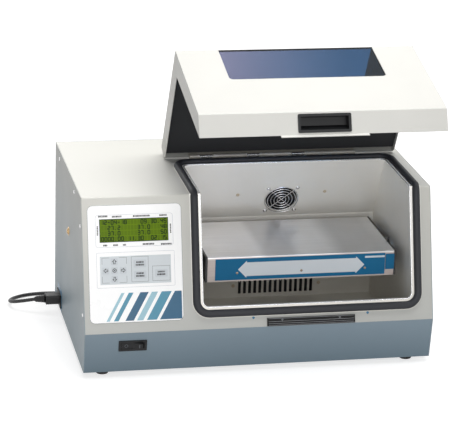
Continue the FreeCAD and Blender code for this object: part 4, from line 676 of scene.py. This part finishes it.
def makeLamps():
    for name, values in lamps.items():
        data = bpy.data.lights.new(name, "AREA")
        data.energy = values["power"]
        data.size = values["size"]
        item = inScene(name, data)
        item.location = values["place"]
        way = Vector(values["aim"]) - Vector(values["place"])
        item.rotation_euler = way.to_track_quat("-Z", "Y").to_euler()


def seenDirectly(tree):
    # 1 for rays from the camera, from glossy surfaces and through glass.
    path = tree.nodes.new("ShaderNodeLightPath")
    either = mathNode(tree, "MAXIMUM", path.outputs["Is Camera Ray"], path.outputs["Is Glossy Ray"])
    return mathNode(tree, "MAXIMUM", either, path.outputs["Is Transmission Ray"])


def makeWorld():
    world = bpy.data.worlds.new("studio")
    bpy.context.scene.world = world
    world.use_nodes = True
    tree = world.node_tree
    background = tree.nodes["Background"]
    background.inputs["Color"].default_value = (1, 1, 1, 1)
    strength = rangeNode(tree, seenDirectly(tree), 0.0, 1.0, 0.25, 1.0)
    tree.links.new(strength, background.inputs["Strength"])


def makeFloor():
    # A pale disc whose glow for direct rays lifts it to white, so that only shadows show.
    material, tree, shader, place = startMaterial("paleFloor", {"Roughness": 0.9, "Emission Strength": 1.0})
    shader.inputs["Specular IOR Level"].default_value = 0.0
    cloud = addGroup(tree, "handling", place, Amount=0.01, Scale=2.0)
    tree.links.new(mixColors(tree, 1.0, (0.5, 0.5, 0.5, 1), cloud.outputs["Shade"], "MULTIPLY"),
                   shader.inputs["Base Color"])
    length = tree.nodes.new("ShaderNodeVectorMath")
    length.operation = "LENGTH"
    tree.links.new(place, length.inputs[0])
    strength = rangeNode(tree, length.outputs["Value"], 0.6, 3.0, 0.7, 1.0)  # far from the object it is white anyway
    glow = mathNode(tree, "MULTIPLY", seenDirectly(tree), strength)
    tree.links.new(greyOf(tree, glow), shader.inputs["Emission Color"])
    turn = fullTurn(96)
    points = np.column_stack([30 * np.cos(turn), 30 * np.sin(turn), np.zeros(96)])
    mesh = bpy.data.meshes.new("floor")
    mesh.from_pydata(points.tolist(), [], [list(range(96))])
    mesh.materials.append(material)
    floor = inScene("floor", mesh)


makeCamera()
makeLamps()
makeWorld()
makeFloor()
bpy.context.scene.view_settings.view_transform = "Standard"

# Mains lead

lead = {
    "radius": 3.75 * mm,
    "inletY": 361 * mm,  # behind the nose line
    "coilRadius": 40 * mm,
    "coilX": -262 * mm,
    "coilShift": 101.5 * mm,  # from the inlet back to the lead's run past the coil
    "turnSteps": 24,
    "clear": 0.15 * mm,
}


def leadRoute():
    # The points of the lead between its connector and its coil.
    y = noseY + lead["inletY"]
    lay = lead["radius"] + lead["clear"]
    return [
        (-0.390, y + 0.008, 0.031),
        (-0.420, y + 0.022, 0.022),
        (-0.438, y + 0.053, 0.011),
        (-0.429, y + 0.087, lay + 0.0005),
        (-0.400, y + 0.107, lay),
        (-0.362, y + 0.113, lay),
        (-0.324, y + 0.109, lay),
        (-0.288, y + 0.1015, lay),
    ]


def coilTurns():
    # Six turns, two side by side and three high, each sliding to the next place near its end; a later turn
    # slides a little earlier round, so that neighbours never meet.
    centerY = noseY + lead["inletY"] + lead["coilShift"] + lead["coilRadius"]
    wire = 2 * lead["radius"]
    near = lead["coilRadius"] - lead["radius"]
    far = lead["coilRadius"] + lead["radius"]
    low = lead["radius"] + lead["clear"] + 0.1 * mm
    places = [(far, low), (near, low), (near, low + wire), (near, low + 2 * wire), (far, low + 2 * wire),
              (far, low + wire), (far, low + wire)]
    points = []
    for index in range(6):
        here = np.array(places[index])
        there = np.array(places[index + 1])
        slideStart = 0.80 - 0.09 * index
        for step in range(lead["turnSteps"]):
            share = step / lead["turnSteps"]
            if index == 0 and step < 2:
                continue
            slide = np.clip((share - slideStart) / 0.10, 0, 1)
            radius, height = here + (there - here) * slide * slide * (3 - 2 * slide)
            angle = -math.pi / 2 + share * 2 * math.pi
            points.append((lead["coilX"] + radius * math.cos(angle), centerY + radius * math.sin(angle), height))
    return points, centerY, low + wire


def makeLead():
    turns, centerY, exitZ = coilTurns()
    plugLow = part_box("mains_plug")[0]
    endY = centerY - lead["coilRadius"]
    tail = [
        (lead["coilX"] - 2 * mm, centerY - lead["coilRadius"] - 3.2 * mm, exitZ),
        (lead["coilX"] + 14 * mm, endY - 1.2 * mm, exitZ),
        (plugLow.x + 3 * mm, endY, exitZ),
    ]
    points = leadRoute() + turns + tail
    data = bpy.data.curves.new("mains_lead", "CURVE")
    data.dimensions = "3D"
    data.bevel_depth = lead["radius"]
    data.bevel_resolution = 4
    data.resolution_u = 6
    data.use_fill_caps = True
    spline = data.splines.new("NURBS")
    spline.points.add(len(points) - 1)
    for point, place in zip(spline.points, points):
        point.co = (*place, 1.0)
    spline.order_u = 3
    spline.use_endpoint_u = True
    data.materials.append(leadJacket)
    piece = inScene("mains_lead", data)
    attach(piece, "cabinet")
    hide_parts("cord_lead", "cord_coil")


makeLead()
print("lead and coil made")

# Gasket round the mouth

gasket = {"inset": 5 * mm, "width": 15 * mm, "height": 9 * mm, "seat": 0.8 * mm, "bead": 0.95 * mm}


def mouthPath(grow, stepsPerCorner=10):
    # The mouth's outline grown outward, unrolled on the casing's skin as (across, along) points.
    low = mouth["bottom"] - grow
    high = frontLength + mouth["back"] + grow
    radius = mouth["corner"] + grow
    outline = roundedRectangle(mouth["left"] - grow, low, mouth["right"] + grow, high, radius, stepsPerCorner)
    outline = np.array(outline)
    dense = []
    for start, end in zip(outline, np.roll(outline, -1, axis=0)):
        count = max(1, int(np.linalg.norm(end - start) / (4 * mm)))
        share = np.arange(count)[:, None] / count
        dense.append(start + (end - start) * share)
    return np.concatenate(dense)


def ringAround(profile, name, material, body):
    # A profile of (grow, height) points carried round the mouth and bent over the shoulder.
    center = mouthPath(0)
    ahead = np.roll(center, -1, axis=0) - np.roll(center, 1, axis=0)
    ahead /= np.linalg.norm(ahead, axis=1, keepdims=True)
    outward = np.column_stack([ahead[:, 1], -ahead[:, 0]])
    profile = np.array(profile)
    flat = center[:, None] + profile[None, :, 0:1] * outward[:, None]
    points = overShoulder(flat[..., 0], flat[..., 1], np.broadcast_to(profile[None, :, 1], flat.shape[:2]))
    faces = gridFaces(len(center), len(profile), True, True)
    return newPiece(name, points.reshape(-1, 3), faces, material, body, sharp=60)


def gasketProfile():
    # A flat foot and a bulb over it: half an ellipse with a slight waist where it meets the foot.
    middle = gasket["inset"] + gasket["width"] / 2
    half = gasket["width"] / 2
    foot = gasket["seat"]
    turn = np.linspace(0, math.pi, 17)
    crown = gasket["height"] - foot - 2.2 * mm
    bulb = np.column_stack([middle + (half - 0.6 * mm) * np.cos(turn), foot + 2.2 * mm + crown * np.sin(turn) ** 0.8])
    right = [(middle + half, foot), (middle + half, foot + 1.2 * mm), (middle + half - 0.9 * mm, foot + 1.7 * mm)]
    left = [(middle - half + 0.9 * mm, foot + 1.7 * mm), (middle - half, foot + 1.2 * mm), (middle - half, foot)]
    return np.concatenate([right, bulb, left])


bulb = ringAround(gasketProfile(), "gasket_bulb", blackRubber, "cabinet")
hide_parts("opening_gasket")
beadTurn = fullTurn(10)
beadProfile = np.column_stack([0.4 * mm + gasket["bead"] * np.cos(beadTurn),
                               0.4 * mm + gasket["bead"] * np.sin(beadTurn)])
bead = ringAround(beadProfile, "liner_edge_bead", brightSteel, "cabinet")
print("gasket made")

# Fan guards

guard = {"rings": (9, 15.5, 22, 28.5, 34), "wire": 0.95 * mm, "rise": 2.6 * mm, "eye": 3.4 * mm, "pitch": 60 * mm}


def guardSurfaces(center, across, over, out):
    # Rings of wire on two crossed wires, with an eye and a screw head at each corner.
    turn = fullTurn(56)
    parts = []
    for radius in guard["rings"]:
        ring = center + out * guard["rise"] + radius * mm * (
            across * np.cos(turn)[:, None] + over * np.sin(turn)[:, None])
        parts.append(tubeAlong(ring, guard["wire"], 8, True, tuple(out)))
    corner = guard["pitch"] / 2
    for sign in (1, -1):
        ends = np.array([center + s * corner * (across + sign * over) + out * guard["wire"] for s in (-1, 1)])
        path = ends[0] + (ends[1] - ends[0]) * np.linspace(0, 1, 12)[:, None]
        parts.append(tubeAlong(path, guard["wire"], 8, False, tuple(out)))
    for s in (-1, 1):
        for t in (-1, 1):
            eye = center + corner * (s * across + t * over)
            ring = eye + out * guard["wire"] + guard["eye"] * (
                across * np.cos(turn[::3])[:, None] + over * np.sin(turn[::3])[:, None])
            parts.append(tubeAlong(ring, guard["wire"], 8, True, tuple(out)))
            profile = [(0, 2.6 * mm), (1.4 * mm, 2.4 * mm), (2.4 * mm, 1.6 * mm), (2.7 * mm, 0.6 * mm),
                       (2.7 * mm, 0.0), (0, 0.0)]
            parts.append(turned(profile, eye, out, 16))
    return parts


def makeGuards():
    inner = joints["circulation_fan_spin"]
    out = np.array(inner["axis"], float)
    out /= np.linalg.norm(out)
    across = xAxis
    outer = np.array(joints["exhaust_fan_spin"]["pos_m"], float)
    outer[1] = rearY
    parts = guardSurfaces(np.array(inner["pos_m"], float), across, np.cross(out, across), out)
    parts += guardSurfaces(outer, -across, zAxis, np.array([0.0, 1.0, 0.0]))
    piece = newPiece("fan_guard_wires", *joined(parts), brightSteel, "cabinet")
    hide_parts("fan_guards")


makeGuards()
print("guards made")

# Screws

screw = {"radius": 3.4 * mm, "rise": 1.6 * mm, "slot": 0.55 * mm, "reach": 2.0 * mm, "sink": 0.7 * mm}


def frameAround(out):
    # Two directions square to a way out, for putting round things on a face.
    out = np.array(out, float) / np.linalg.norm(out)
    helper = zAxis if abs(out[2]) < 0.9 else np.array([0.0, 1.0, 0.0])
    first = np.cross(helper, out)
    first /= np.linalg.norm(first)
    return first, np.cross(out, first), out


def panHead(center, out, size=1.0, crossed=True, turn=0.4, steps=40):
    # A domed head: height is rise * sqrt(1 - (r / radius)^3), less a smooth recess along one or two slots.
    first, second, out = frameAround(out)
    radius = screw["radius"] * size
    share = np.array([0, 0.08, 0.16, 0.24, 0.34, 0.44, 0.54, 0.64, 0.76, 0.88, 0.96, 1.0])[:, None]
    angle = fullTurn(steps)[None]
    x = radius * share * np.cos(angle)
    y = radius * share * np.sin(angle)
    height = screw["rise"] * size * np.sqrt(np.clip(1 - share ** 3, 0, 1)) + 0 * angle
    u = x * math.cos(turn) + y * math.sin(turn)
    v = y * math.cos(turn) - x * math.sin(turn)
    slot = screw["slot"] * size
    reach = screw["reach"] * size if crossed else radius
    depth = np.clip((slot - np.abs(v)) / (0.5 * slot) + 0.5, 0, 1) * np.clip((reach - np.abs(u)) / slot + 0.5, 0, 1)
    if crossed:
        other = np.clip((slot - np.abs(u)) / (0.5 * slot) + 0.5, 0, 1)
        depth = np.maximum(depth, other * np.clip((reach - np.abs(v)) / slot + 0.5, 0, 1))
    height = np.maximum(height - screw["sink"] * size * depth, 0.0)
    height[-1] = 0
    points = (np.array(center, float) + x[..., None] * first + y[..., None] * second + height[..., None] * out)
    faces = gridFaces(len(share), steps, False, True)
    faces.append(list(range((len(share) - 1) * steps, len(share) * steps)))
    return points.reshape(-1, 3), faces


def casePlaces():
    # Where the casing's screws stand, each with its way out.
    places = []
    slope = frontPlane["rise"]
    inward = -frontPlane["out"]
    fronts = [frontPlane["origin"] + slope * climb * mm + inward * 16.5 * mm for climb in (203.7, 36.0)]
    for side in (-1, 1):
        out = (side, 0, 0)
        for y in (183.369, -32.631):
            places.append(((side * halfWidth, y * mm, 325.5 * mm), out))
        for point in fronts:
            places.append(((side * halfWidth, point[1], point[2]), out))
    for x in (-312, 312):
        for z in (72, 292):
            places.append(((x * mm, rearY, z * mm), (0, 1, 0)))
    return places


def makeScrews():
    parts = [panHead(place, out, turn=random.uniform(0, 1.5)) for place, out in casePlaces()]
    heads = newPiece("case_screw_heads", *joined(parts), brightSteel, "cabinet", sharp=40)
    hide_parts("case_screws")
    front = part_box("platform_plate")[0].y + 1.4 * mm
    parts = [panHead((x * mm, front, 176 * mm), (0, -1, 0), 0.76, False, turn) for x, turn in
             ((-34, 0.6), (93, 1.2), (220, 2.2))]
    heads = newPiece("plate_screw_heads", *joined(parts), screwSteel, "platform", sharp=40)
    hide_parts("platform_plate_screws")
    parts = []
    for x in (40, 153):
        place = onPlane([[x * mm, 12.6 * mm, 3.7 * mm]], frontPlane)[0]
        parts.append(panHead(place, frontPlane["out"], 0.7, True, x))
    newPiece("latch_screw_heads", *joined(parts), dullSteel, "cabinet", sharp=40)
    parts = []
    for x in (-15.4, 209.2):
        profile = [(0, 0.7 * mm), (1.6 * mm, 0.6 * mm), (2.4 * mm, 0.2 * mm), (2.5 * mm, 0.0), (0, 0.0)]
        parts.append(turned(profile, onPlane([[x * mm, 18.2 * mm, 0]], frontPlane)[0], frontPlane["out"], 20))
    newPiece("front_rivets", *joined(parts), labelBlue, "cabinet", sharp=40)


rearWall = {
    "y": 124.369,  # in mm, as the rest
    "bend": 211,  # above it the wall leans forward
    "lean": 25.327,
    "upper": ((8, 265), (187, 267)),
    "lower": ((10, 61.5), (189, 61.5)),
    "headSize": 1.1,
}
hingeScrews = {"x": (-80, -10, 62, 100, 160, 232), "y": 90, "z": 343.15, "headSize": 0.7}


def makeWallFasteners():
    # Four dull fasteners: two on the leaning upper wall behind the fan, two low on the upright wall.
    lean = math.radians(rearWall["lean"])
    out = (0, -math.cos(lean), -math.sin(lean))
    parts = []
    for x, z in rearWall["upper"]:
        y = rearWall["y"] - (z - rearWall["bend"]) * math.tan(lean)
        parts.append(panHead((x * mm, y * mm, z * mm), out, rearWall["headSize"], True, x))
    for x, z in rearWall["lower"]:
        parts.append(panHead((x * mm, rearWall["y"] * mm, z * mm), (0, -1, 0), rearWall["headSize"], True, x))
    newPiece("wall_fasteners", *joined(parts), nylonBuff, "cabinet", sharp=40)
    parts = []
    for x in hingeScrews["x"]:
        place = (x * mm, hingeScrews["y"] * mm, hingeScrews["z"] * mm)
        parts.append(panHead(place, (0, 0, 1), hingeScrews["headSize"], True, x))
    newPiece("hinge_screw_heads", *joined(parts), brightSteel, "cabinet", sharp=40)


ridge = {"left": 13 * mm, "right": 181 * mm, "climbs": (2.4, 5.6, 9.4, 15.2), "height": 4.6 * mm, "wire": 0.45 * mm}


def makeLatchRidges():
    # Thin glossy ridges that run along the strip between its grooves, coloured light grey as painted highlights on the
    # black strip.
    parts = []
    for climb in ridge["climbs"]:
        ends = onPlane([[ridge["left"], climb * mm, ridge["height"]], [ridge["right"], climb * mm, ridge["height"]]],
                       frontPlane)
        path = ends[0] + (ends[1] - ends[0]) * np.linspace(0, 1, 6)[:, None]
        parts.append(tubeAlong(path, ridge["wire"], 10, False, tuple(frontPlane["out"])))
    newPiece("latch_ridges", *joined(parts), ridgeHighlightGloss, "cabinet", sharp=60)


makeScrews()
makeWallFasteners()
makeLatchRidges()

# Hinge springs

spring = {"wire": 0.5 * mm, "radius": 2.85 * mm, "length": 24.6 * mm, "pitch": 1.23 * mm, "leg": 10 * mm}


def makeSprings():
    # Each is a helix about the hinge pin with one leg that lies forward on the fixed leaf.
    hinge = joints["lid_hinge"]["pos_m"]
    parts = []
    for middle in (-58.1, 37.5, 129.0):
        count = int(spring["length"] / spring["pitch"] * 16)
        angle = np.arange(count + 1) * 2 * math.pi / 16
        coil = np.column_stack([middle * mm - spring["length"] / 2 + angle / (2 * math.pi) * spring["pitch"],
                                hinge[1] - spring["radius"] * np.sin(angle),
                                hinge[2] - spring["radius"] * np.cos(angle)])
        share = np.linspace(1, 0.08, 8)[:, None]
        leg = coil[0] + share * np.array([0, -spring["leg"], 0.0])
        parts.append(tubeAlong(np.concatenate([leg, coil]), spring["wire"], 7, False, (1.0, 0.0, 0.0)))
    piece = newPiece("spring_coils", *joined(parts), brightSteel, "cabinet", sharp=60)
    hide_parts("hinge_springs")


makeSprings()

# Feet, jack, inlet and plug

foot = {"height": 12 * mm, "radius": 13.5 * mm, "taper": 1.5 * mm, "bore": 5 * mm, "depth": 6 * mm}
jack = {"y": 42.369 * mm, "z": 221 * mm}
inlet = {"y": 170.369 * mm, "z": 34 * mm}


def makeFeet():
    # A turned rubber foot with a rounded tread, three faint steps and a screw recess underneath.
    low = foot["radius"] - foot["taper"]
    profile = [(0, foot["depth"]), (foot["bore"], foot["depth"]), (foot["bore"], 0.6 * mm),
               (foot["bore"] + 0.6 * mm, 0), (low - 1.5 * mm, 0), (low - 0.5 * mm, 0.4 * mm), (low, 1.4 * mm)]
    for step in range(1, 4):
        height = 1.4 * mm + step * 2.5 * mm
        radius = low + foot["taper"] * (height / foot["height"])
        profile += [(radius - 0.05 * mm, height - 0.5 * mm), (radius - 0.35 * mm, height - 0.2 * mm),
                    (radius, height + 0.1 * mm)]
    profile += [(foot["radius"], foot["height"]), (0, foot["height"])]
    parts = []
    for x in (-300, 300):
        for y in (-150.13, 209.37):
            parts.append(turned(profile, (x * mm, y * mm, 0), (0, 0, 1), 40))
    piece = newPiece("turned_feet", *joined(parts), footRubber, "cabinet", sharp=40)
    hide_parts("rubber_feet")


def makeJack():
    # A brass panel jack: thin washer, hexagonal nut with a turned collar, and a dark disc in its bore as painted shade.
    center = np.array([-halfWidth, jack["y"], jack["z"]])
    out = np.array([-1.0, 0.0, 0.0])
    washer = turned([(0, -14 * mm), (6.4 * mm, -14 * mm), (6.5 * mm, 0), (9.0 * mm, 0), (9.0 * mm, 0.35 * mm),
                     (8.8 * mm, 0.5 * mm), (0, 0.5 * mm)], center, out, 40)
    nut = turned([(6.9 * mm, 0.5 * mm), (7.8 * mm, 0.5 * mm), (7.8 * mm, 1.3 * mm), (7.2 * mm, 1.6 * mm),
                  (6.0 * mm, 1.6 * mm), (6.0 * mm, 0.5 * mm), (6.9 * mm, 0.5 * mm)], center, out, 6)
    collar = turned([(4.0 * mm, 0.4 * mm), (5.2 * mm, 0.4 * mm), (5.2 * mm, 3.1 * mm), (4.9 * mm, 3.5 * mm),
                     (3.2 * mm, 3.5 * mm), (2.8 * mm, 3.1 * mm), (2.8 * mm, 0.4 * mm), (4.0 * mm, 0.4 * mm)],
                    center, out, 40)
    brass = newPiece("jack_parts", *joined([washer, nut, collar]), jackBrass, "cabinet", sharp=30)
    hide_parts("probe_jack")
    # A dark disc just inside the collar: painted shade where the bore would be dark.
    boreShade = turned([(0, 0.4 * mm), (2.75 * mm, 0.4 * mm), (2.75 * mm, 0.9 * mm), (0, 0.7 * mm)], center, out, 24)
    newPiece("jack_bore_shade", *boreShade, darkInkAndShade, "cabinet", sharp=30)


def ringPlate(plane, outer, inner, low, high):
    # A flat ring between two outlines with as many points, as a closed plate.
    outer = np.array(outer, float)
    inner = np.array(inner, float)
    count = len(outer)
    loops = []
    for outline, height in ((outer, low), (outer, high), (inner, high), (inner, low)):
        loops.append(np.column_stack([outline, np.full(count, height)]))
    return onPlane(np.concatenate(loops), plane), gridFaces(4, count, True, True)


def makeInletParts():
    # The thin plate round the inlet, the ribs of the strain relief, and metal skins on the plug's pins.
    y, z = inlet["y"], inlet["z"]
    left = noseY - y  # across runs forward on this face
    low = z - baseZ
    outer = roundedRectangle(left - 30 * mm, low - 20.5 * mm, left + 30 * mm, low + 25.5 * mm, 2 * mm, 5)
    inner = roundedRectangle(left - 24 * mm, low - 13 * mm, left + 24 * mm, low + 13 * mm, 2 * mm, 5)
    plate = newPiece("inlet_plate", *ringPlate(leftPlane, outer, inner, 0.0, 0.35 * mm), labelBlue, "cabinet", sharp=40)
    start = np.array([-halfWidth - 29.5 * mm, y, z])
    end = np.array(leadRoute()[0])
    length = float(np.linalg.norm(end - start))
    profile = [(0, 0.5 * mm)]
    ribs = 6
    for index in range(ribs):
        for share, grow in ((0.12, 0.25), (0.2, 0.8), (0.62, 0.8), (0.72, 0.25)):
            along = (index + share) / ribs * (length - 2 * mm)
            radius = 7.5 * mm + (4.95 - 7.5) * mm * along / length
            profile.append((radius + grow * mm, along + 0.5 * mm))
    profile.append((0, length - 1.5 * mm))
    relief = newPiece("relief_ribs", *turned(profile, start, end - start, 30), leadJacket, "cabinet", sharp=35)
    plugLow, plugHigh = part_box("mains_plug")
    face = plugHigh.x - 18 * mm
    middleY = (plugLow.y + plugHigh.y) / 2
    middleZ = (plugLow.z + plugHigh.z) / 2
    parts = []
    for side in (-1, 1):
        blade = {"origin": np.array([face, middleY + side * 6.3 * mm, middleZ - 3 * mm]),
                 "across": xAxis, "rise": zAxis,
                 "out": np.array([0.0, -1.0, 0.0])}
        outline = [(0, -3.1 * mm), (14 * mm, -3.1 * mm), (16.1 * mm, -2.2 * mm), (16.1 * mm, 2.2 * mm),
                   (14 * mm, 3.1 * mm), (0, 3.1 * mm)]
        parts.append(plateOn(blade, outline, -0.85 * mm, 0.85 * mm))
    pin = [(0, 0), (2.45 * mm, 0), (2.45 * mm, 15.5 * mm), (1.9 * mm, 17.2 * mm), (0, 18.1 * mm)]
    parts.append(turned(pin, (face, middleY, middleZ + 6 * mm), (1, 0, 0), 24))
    newPiece("plug_pins", *joined(parts), jackBrass, "cabinet", sharp=35)


makeFeet()
makeJack()
makeInletParts()
print("screws, springs, feet and plug made")

# Printed panel

panel = {"film": 0.6 * mm, "window": 0.8 * mm, "key": 1.4 * mm, "line": 0.55 * mm}
digitSegments = {"0": "abcdef", "1": "bc", "2": "abged", "3": "abgcd", "4": "fgbc", "5": "afgcd", "6": "afgedc",
                 "7": "abc", "8": "abcdefg", "9": "abcdfg", "-": "g", ".": "", " ": ""}
displayRows = ("12-04-18    09.30.45", "  27.2     37.0   48", "  37.0     37.0   50", "0000.00 11.30  02.15")


def scaled(points):
    return [(x * mm, y * mm) for x, y in points]


def dashes(left, right, low, high, dash=1.7, gap=0.75):
    # A row of short bars that stands for small print without being any.
    shapes = []
    x = left
    while x < right - 0.4:
        width = min(dash * random.uniform(0.6, 1.3), right - x)
        shapes.append(scaled(rectangle(x, low, x + width, high)))
        x += width + gap
    return shapes


def digitShapes(text, left, low, width, height, stroke):
    # Seven-segment figures, each cell as wide as the pitch.
    shapes = []
    for index, figure in enumerate(text):
        x0 = left + index * width + 0.14 * width
        x1 = x0 + 0.66 * width
        y0, y1 = low, low + height
        middle = (y0 + y1) / 2
        half = stroke / 2
        bars = {"a": (x0, y1 - half, x1, y1 + half), "g": (x0, middle - half, x1, middle + half),
                "d": (x0, y0 - half, x1, y0 + half), "f": (x0 - half, middle, x0 + half, y1),
                "b": (x1 - half, middle, x1 + half, y1), "e": (x0 - half, y0, x0 + half, middle),
                "c": (x1 - half, y0, x1 + half, middle)}
        for name in digitSegments[figure]:
            shapes.append(scaled(rectangle(*bars[name])))
        if figure == ".":
            shapes.append(scaled(rectangle(x0 + 1, y0 - 0.6, x0 + 2.4, y0 + 0.8)))
    return shapes


def ringStrokes(x, y, radius, width, steps=20):
    turn = fullTurn(steps)
    circle = np.column_stack([x + radius * np.cos(turn), y + radius * np.sin(turn)])
    return strokes(circle * mm, width * mm, True)


def arrowStrokes(x, y, quarter, width=1.05):
    # A hollow arrow that points up before it is turned by quarters, against the clock.
    outline = np.array([(0, 4.1), (3.6, 0.2), (1.6, 0.2), (1.6, -3.9), (-1.6, -3.9), (-1.6, 0.2), (-3.6, 0.2)])
    angle = quarter * math.pi / 2
    turn = np.array([[math.cos(angle), math.sin(angle)], [-math.sin(angle), math.cos(angle)]])
    return strokes((outline @ turn + np.array([x, y])) * mm, width * mm, True)


def makePanelLines():
    film, line = panel["film"], panel["line"]
    edge = strokes(scaled(roundedRectangle(-328.7, 20.3, -150.3, 241.7, 9.7, 7)), 0.6 * mm, True)
    printOn("panel_edge", frontPlane, edge, film, greyInk, "cabinet")
    frames = strokes(scaled(roundedRectangle(-314, 163, -166.8, 223.6, 5, 6)), line, True)
    frames += strokes(scaled(roundedRectangle(-313.4, 86.6, -165.2, 152.8, 2, 4)), line, True)
    printOn("panel_frames", frontPlane, frames, film, faintInk, "cabinet")
    pad = [scaled(rectangle(-307.2, 92.4, -172.2, 145.6))]
    printOn("keypad_field", frontPlane, pad, film, keyFilm, "cabinet")
    lines = []
    for sx in (-1, 1):
        for sy in (-1, 1):
            corner = [(-280 + sx * 9.5, 119.4 + sy * 23.6), (-280 + sx * 23.2, 119.4 + sy * 23.6),
                      (-280 + sx * 23.2, 119.4 + sy * 11.5)]
            lines += strokes(scaled(corner), line)
    lines += strokes(scaled(rectangle(-247.6, 96.2, -215.5, 143.6)), line, True)
    lines += strokes(scaled(rectangle(-207.6, 96.8, -174.4, 124.6)), line, True)
    printOn("keypad_lines", frontPlane, lines, film + 0.05 * mm, greyInk, "cabinet")
    marks = []
    for left, right, low in ((-308, -290, 219.6), (-282, -264, 218.6), (-242, -210, 218.4), (-192, -178, 218.4),
                             (-300, -292, 165.0), (-281, -272, 165.0), (-262.5, -256, 165.0), (-225, -203, 165.0),
                             (-190, -170, 164.0)):
        marks += dashes(left, right, low, low + 3.2, 2.0, 0.6)
    for x in (-311.4, -172.4):
        for index in range(6):
            marks.append(scaled(rectangle(x, 186 + index * 3.0, x + 2.4, 188.2 + index * 3.0)))
    printOn("panel_marks", frontPlane, marks, film + 0.02 * mm, darkInkAndShade, "cabinet")


def makeDisplay():
    # Four rows of twenty cells, as on a common character display, with plain figures in them.
    cells = []
    figures = []
    for row in range(4):
        low = 205.9 - row * 10.35
        for column in range(20):
            left = -303.6 + column * 6.3
            cells.append(scaled(rectangle(left, low - 0.9, left + 5.3, low + 8.0)))
        figures += digitShapes(displayRows[row], -303.9, low, 6.3, 7.2, 1.5)
    border = ringPlate(frontPlane, scaled(rectangle(-306.2, 172.3, -175.8, 215.7)),
                       scaled(rectangle(-305.0, 173.4, -177.0, 214.6)), panel["window"], panel["window"] + 0.03 * mm)
    newPiece("display_border", *border, displayInk, "cabinet", sharp=20)
    printOn("display_cells", frontPlane, cells, panel["window"], displayCell, "cabinet", 0.02 * mm)
    printOn("display_figures", frontPlane, figures, panel["window"] + 0.03 * mm, displayInk, "cabinet")


def makeKeyMarks():
    key = panel["key"]
    for side, x, y, quarter in (("up", -280, 135.5, 0), ("right", -263.5, 119, 3), ("down", -280, 102.5, 2),
                                ("left", -296.5, 119, 1)):
        printOn("mark_" + side, frontPlane, arrowStrokes(x, y, quarter), key, darkInkAndShade, side + "_key")
    center = ringStrokes(-280, 119, 3.3, 1.2) + [scaled(rectangle(-281.2, 117.8, -278.8, 120.2))]
    printOn("mark_center", frontPlane, center, key, darkInkAndShade, "center_key")
    for name, body, x, y in (("mark_timer", "timer_key", -231.5, 130.5), ("mark_speed", "speed_key", -231.5, 109.5),
                             ("mark_run", "run_key", -191, 111)):
        rows = dashes(x - 7, x + 7, y + 0.9, y + 4.1, 2.0, 0.6) + dashes(x - 8, x + 8, y - 4.1, y - 0.9, 2.0, 0.6)
        printOn(name, frontPlane, rows, key, darkInkAndShade, body)


def makeBands():
    # Plain slanted stripes, widest and deepest at the right, in the colours of the panel's lower part.
    low, high, slant, right = 23, 76, 30, -153
    stripes = {deepTeal: [(-196, 43), (-262, 16)], midTeal: [(-221, 19), (-284, 9)],
               paleTeal: [(-240, 12), (-298, 6)]}
    for material, places in stripes.items():
        shapes = []
        for left, width in places:
            ends = [(left, low), (left + width, low), (left + width + slant, high), (left + slant, high)]
            if left + width + slant > right:
                cut = low + (high - low) * (right - left - width) / slant
                ends = [(left, low), (left + width, low), (right, cut), (right, high), (left + slant, high)]
                if left + width > right:
                    ends = [(left, low), (right, low), (right, high), (left + slant, high)]
            shapes.append(scaled(ends))
        printOn("band_" + material.name, frontPlane, shapes, panel["film"], material, "cabinet")


makePanelLines()
makeDisplay()
makeKeyMarks()
makeBands()

# Marks on the platform's plate and on the switch


def makeArrow():
    # A double arrow: two heads on a shaft that is a little narrower.
    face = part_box("platform_plate")[0].y + 1.4 * mm
    plane = planeFrom((93 * mm, face, 183 * mm), (93 * mm, face, 200 * mm))
    tip, neck, head, shaft = 125.5, 108.5, 17.3, 14.0
    outline = [(tip, 0), (neck, head), (neck, shaft), (-neck, shaft), (-neck, head), (-tip, 0), (-neck, -head),
               (-neck, -shaft), (neck, -shaft), (neck, -head)]
    shapes = [scaled(outline), scaled(rectangle(126.5, 13.6, 166, 17.4))]
    printOn("plate_arrow", plane, shapes, 0.0, whiteInk, "platform", 0.08 * mm)


def drapedOn(node, plane, shapes, lift, thickness, name, material, body):
    # Ink on a curved piece: each corner is dropped onto it along the face's way in.
    target = nodes[node]
    back = target.matrix_world.inverted()
    parts = []
    for shape in shapes:
        bottom = []
        for x, y in shape:
            start = back @ Vector(onPlane([[x, y, 30 * mm]], plane)[0])
            way = (back.to_3x3() @ Vector(-plane["out"])).normalized()
            found, place = target.ray_cast(start, way)[:2]
            if found:
                bottom.append(np.array(target.matrix_world @ place))
        if len(bottom) < len(shape):
            continue
        bottom = np.array(bottom)
        points = np.concatenate([bottom + lift * plane["out"], bottom + (lift + thickness) * plane["out"]])
        count = len(bottom)
        faces = gridFaces(2, count, False, True) + [list(range(count)), list(range(count, 2 * count))]
        parts.append((points, faces))
    print(name, len(parts), "of", len(shapes), "shapes dropped")
    return newPiece(name, *joined(parts), material, body, sharp=30)


def makeSwitchMarks():
    middle = -247.5
    shapes = ringStrokes(middle - 12.5, 55.5, 3.0, 0.9)
    shapes += strokes(scaled([(middle + 12.5, 52.5), (middle + 12.5, 58.5)]), 0.9 * mm)
    drapedOn("switch_rocker", apronPlane, shapes, 0.0, 0.05 * mm, "switch_marks", greyInk, "rocker")


makeArrow()
makeSwitchMarks()
print("panel, plate and switch printed")
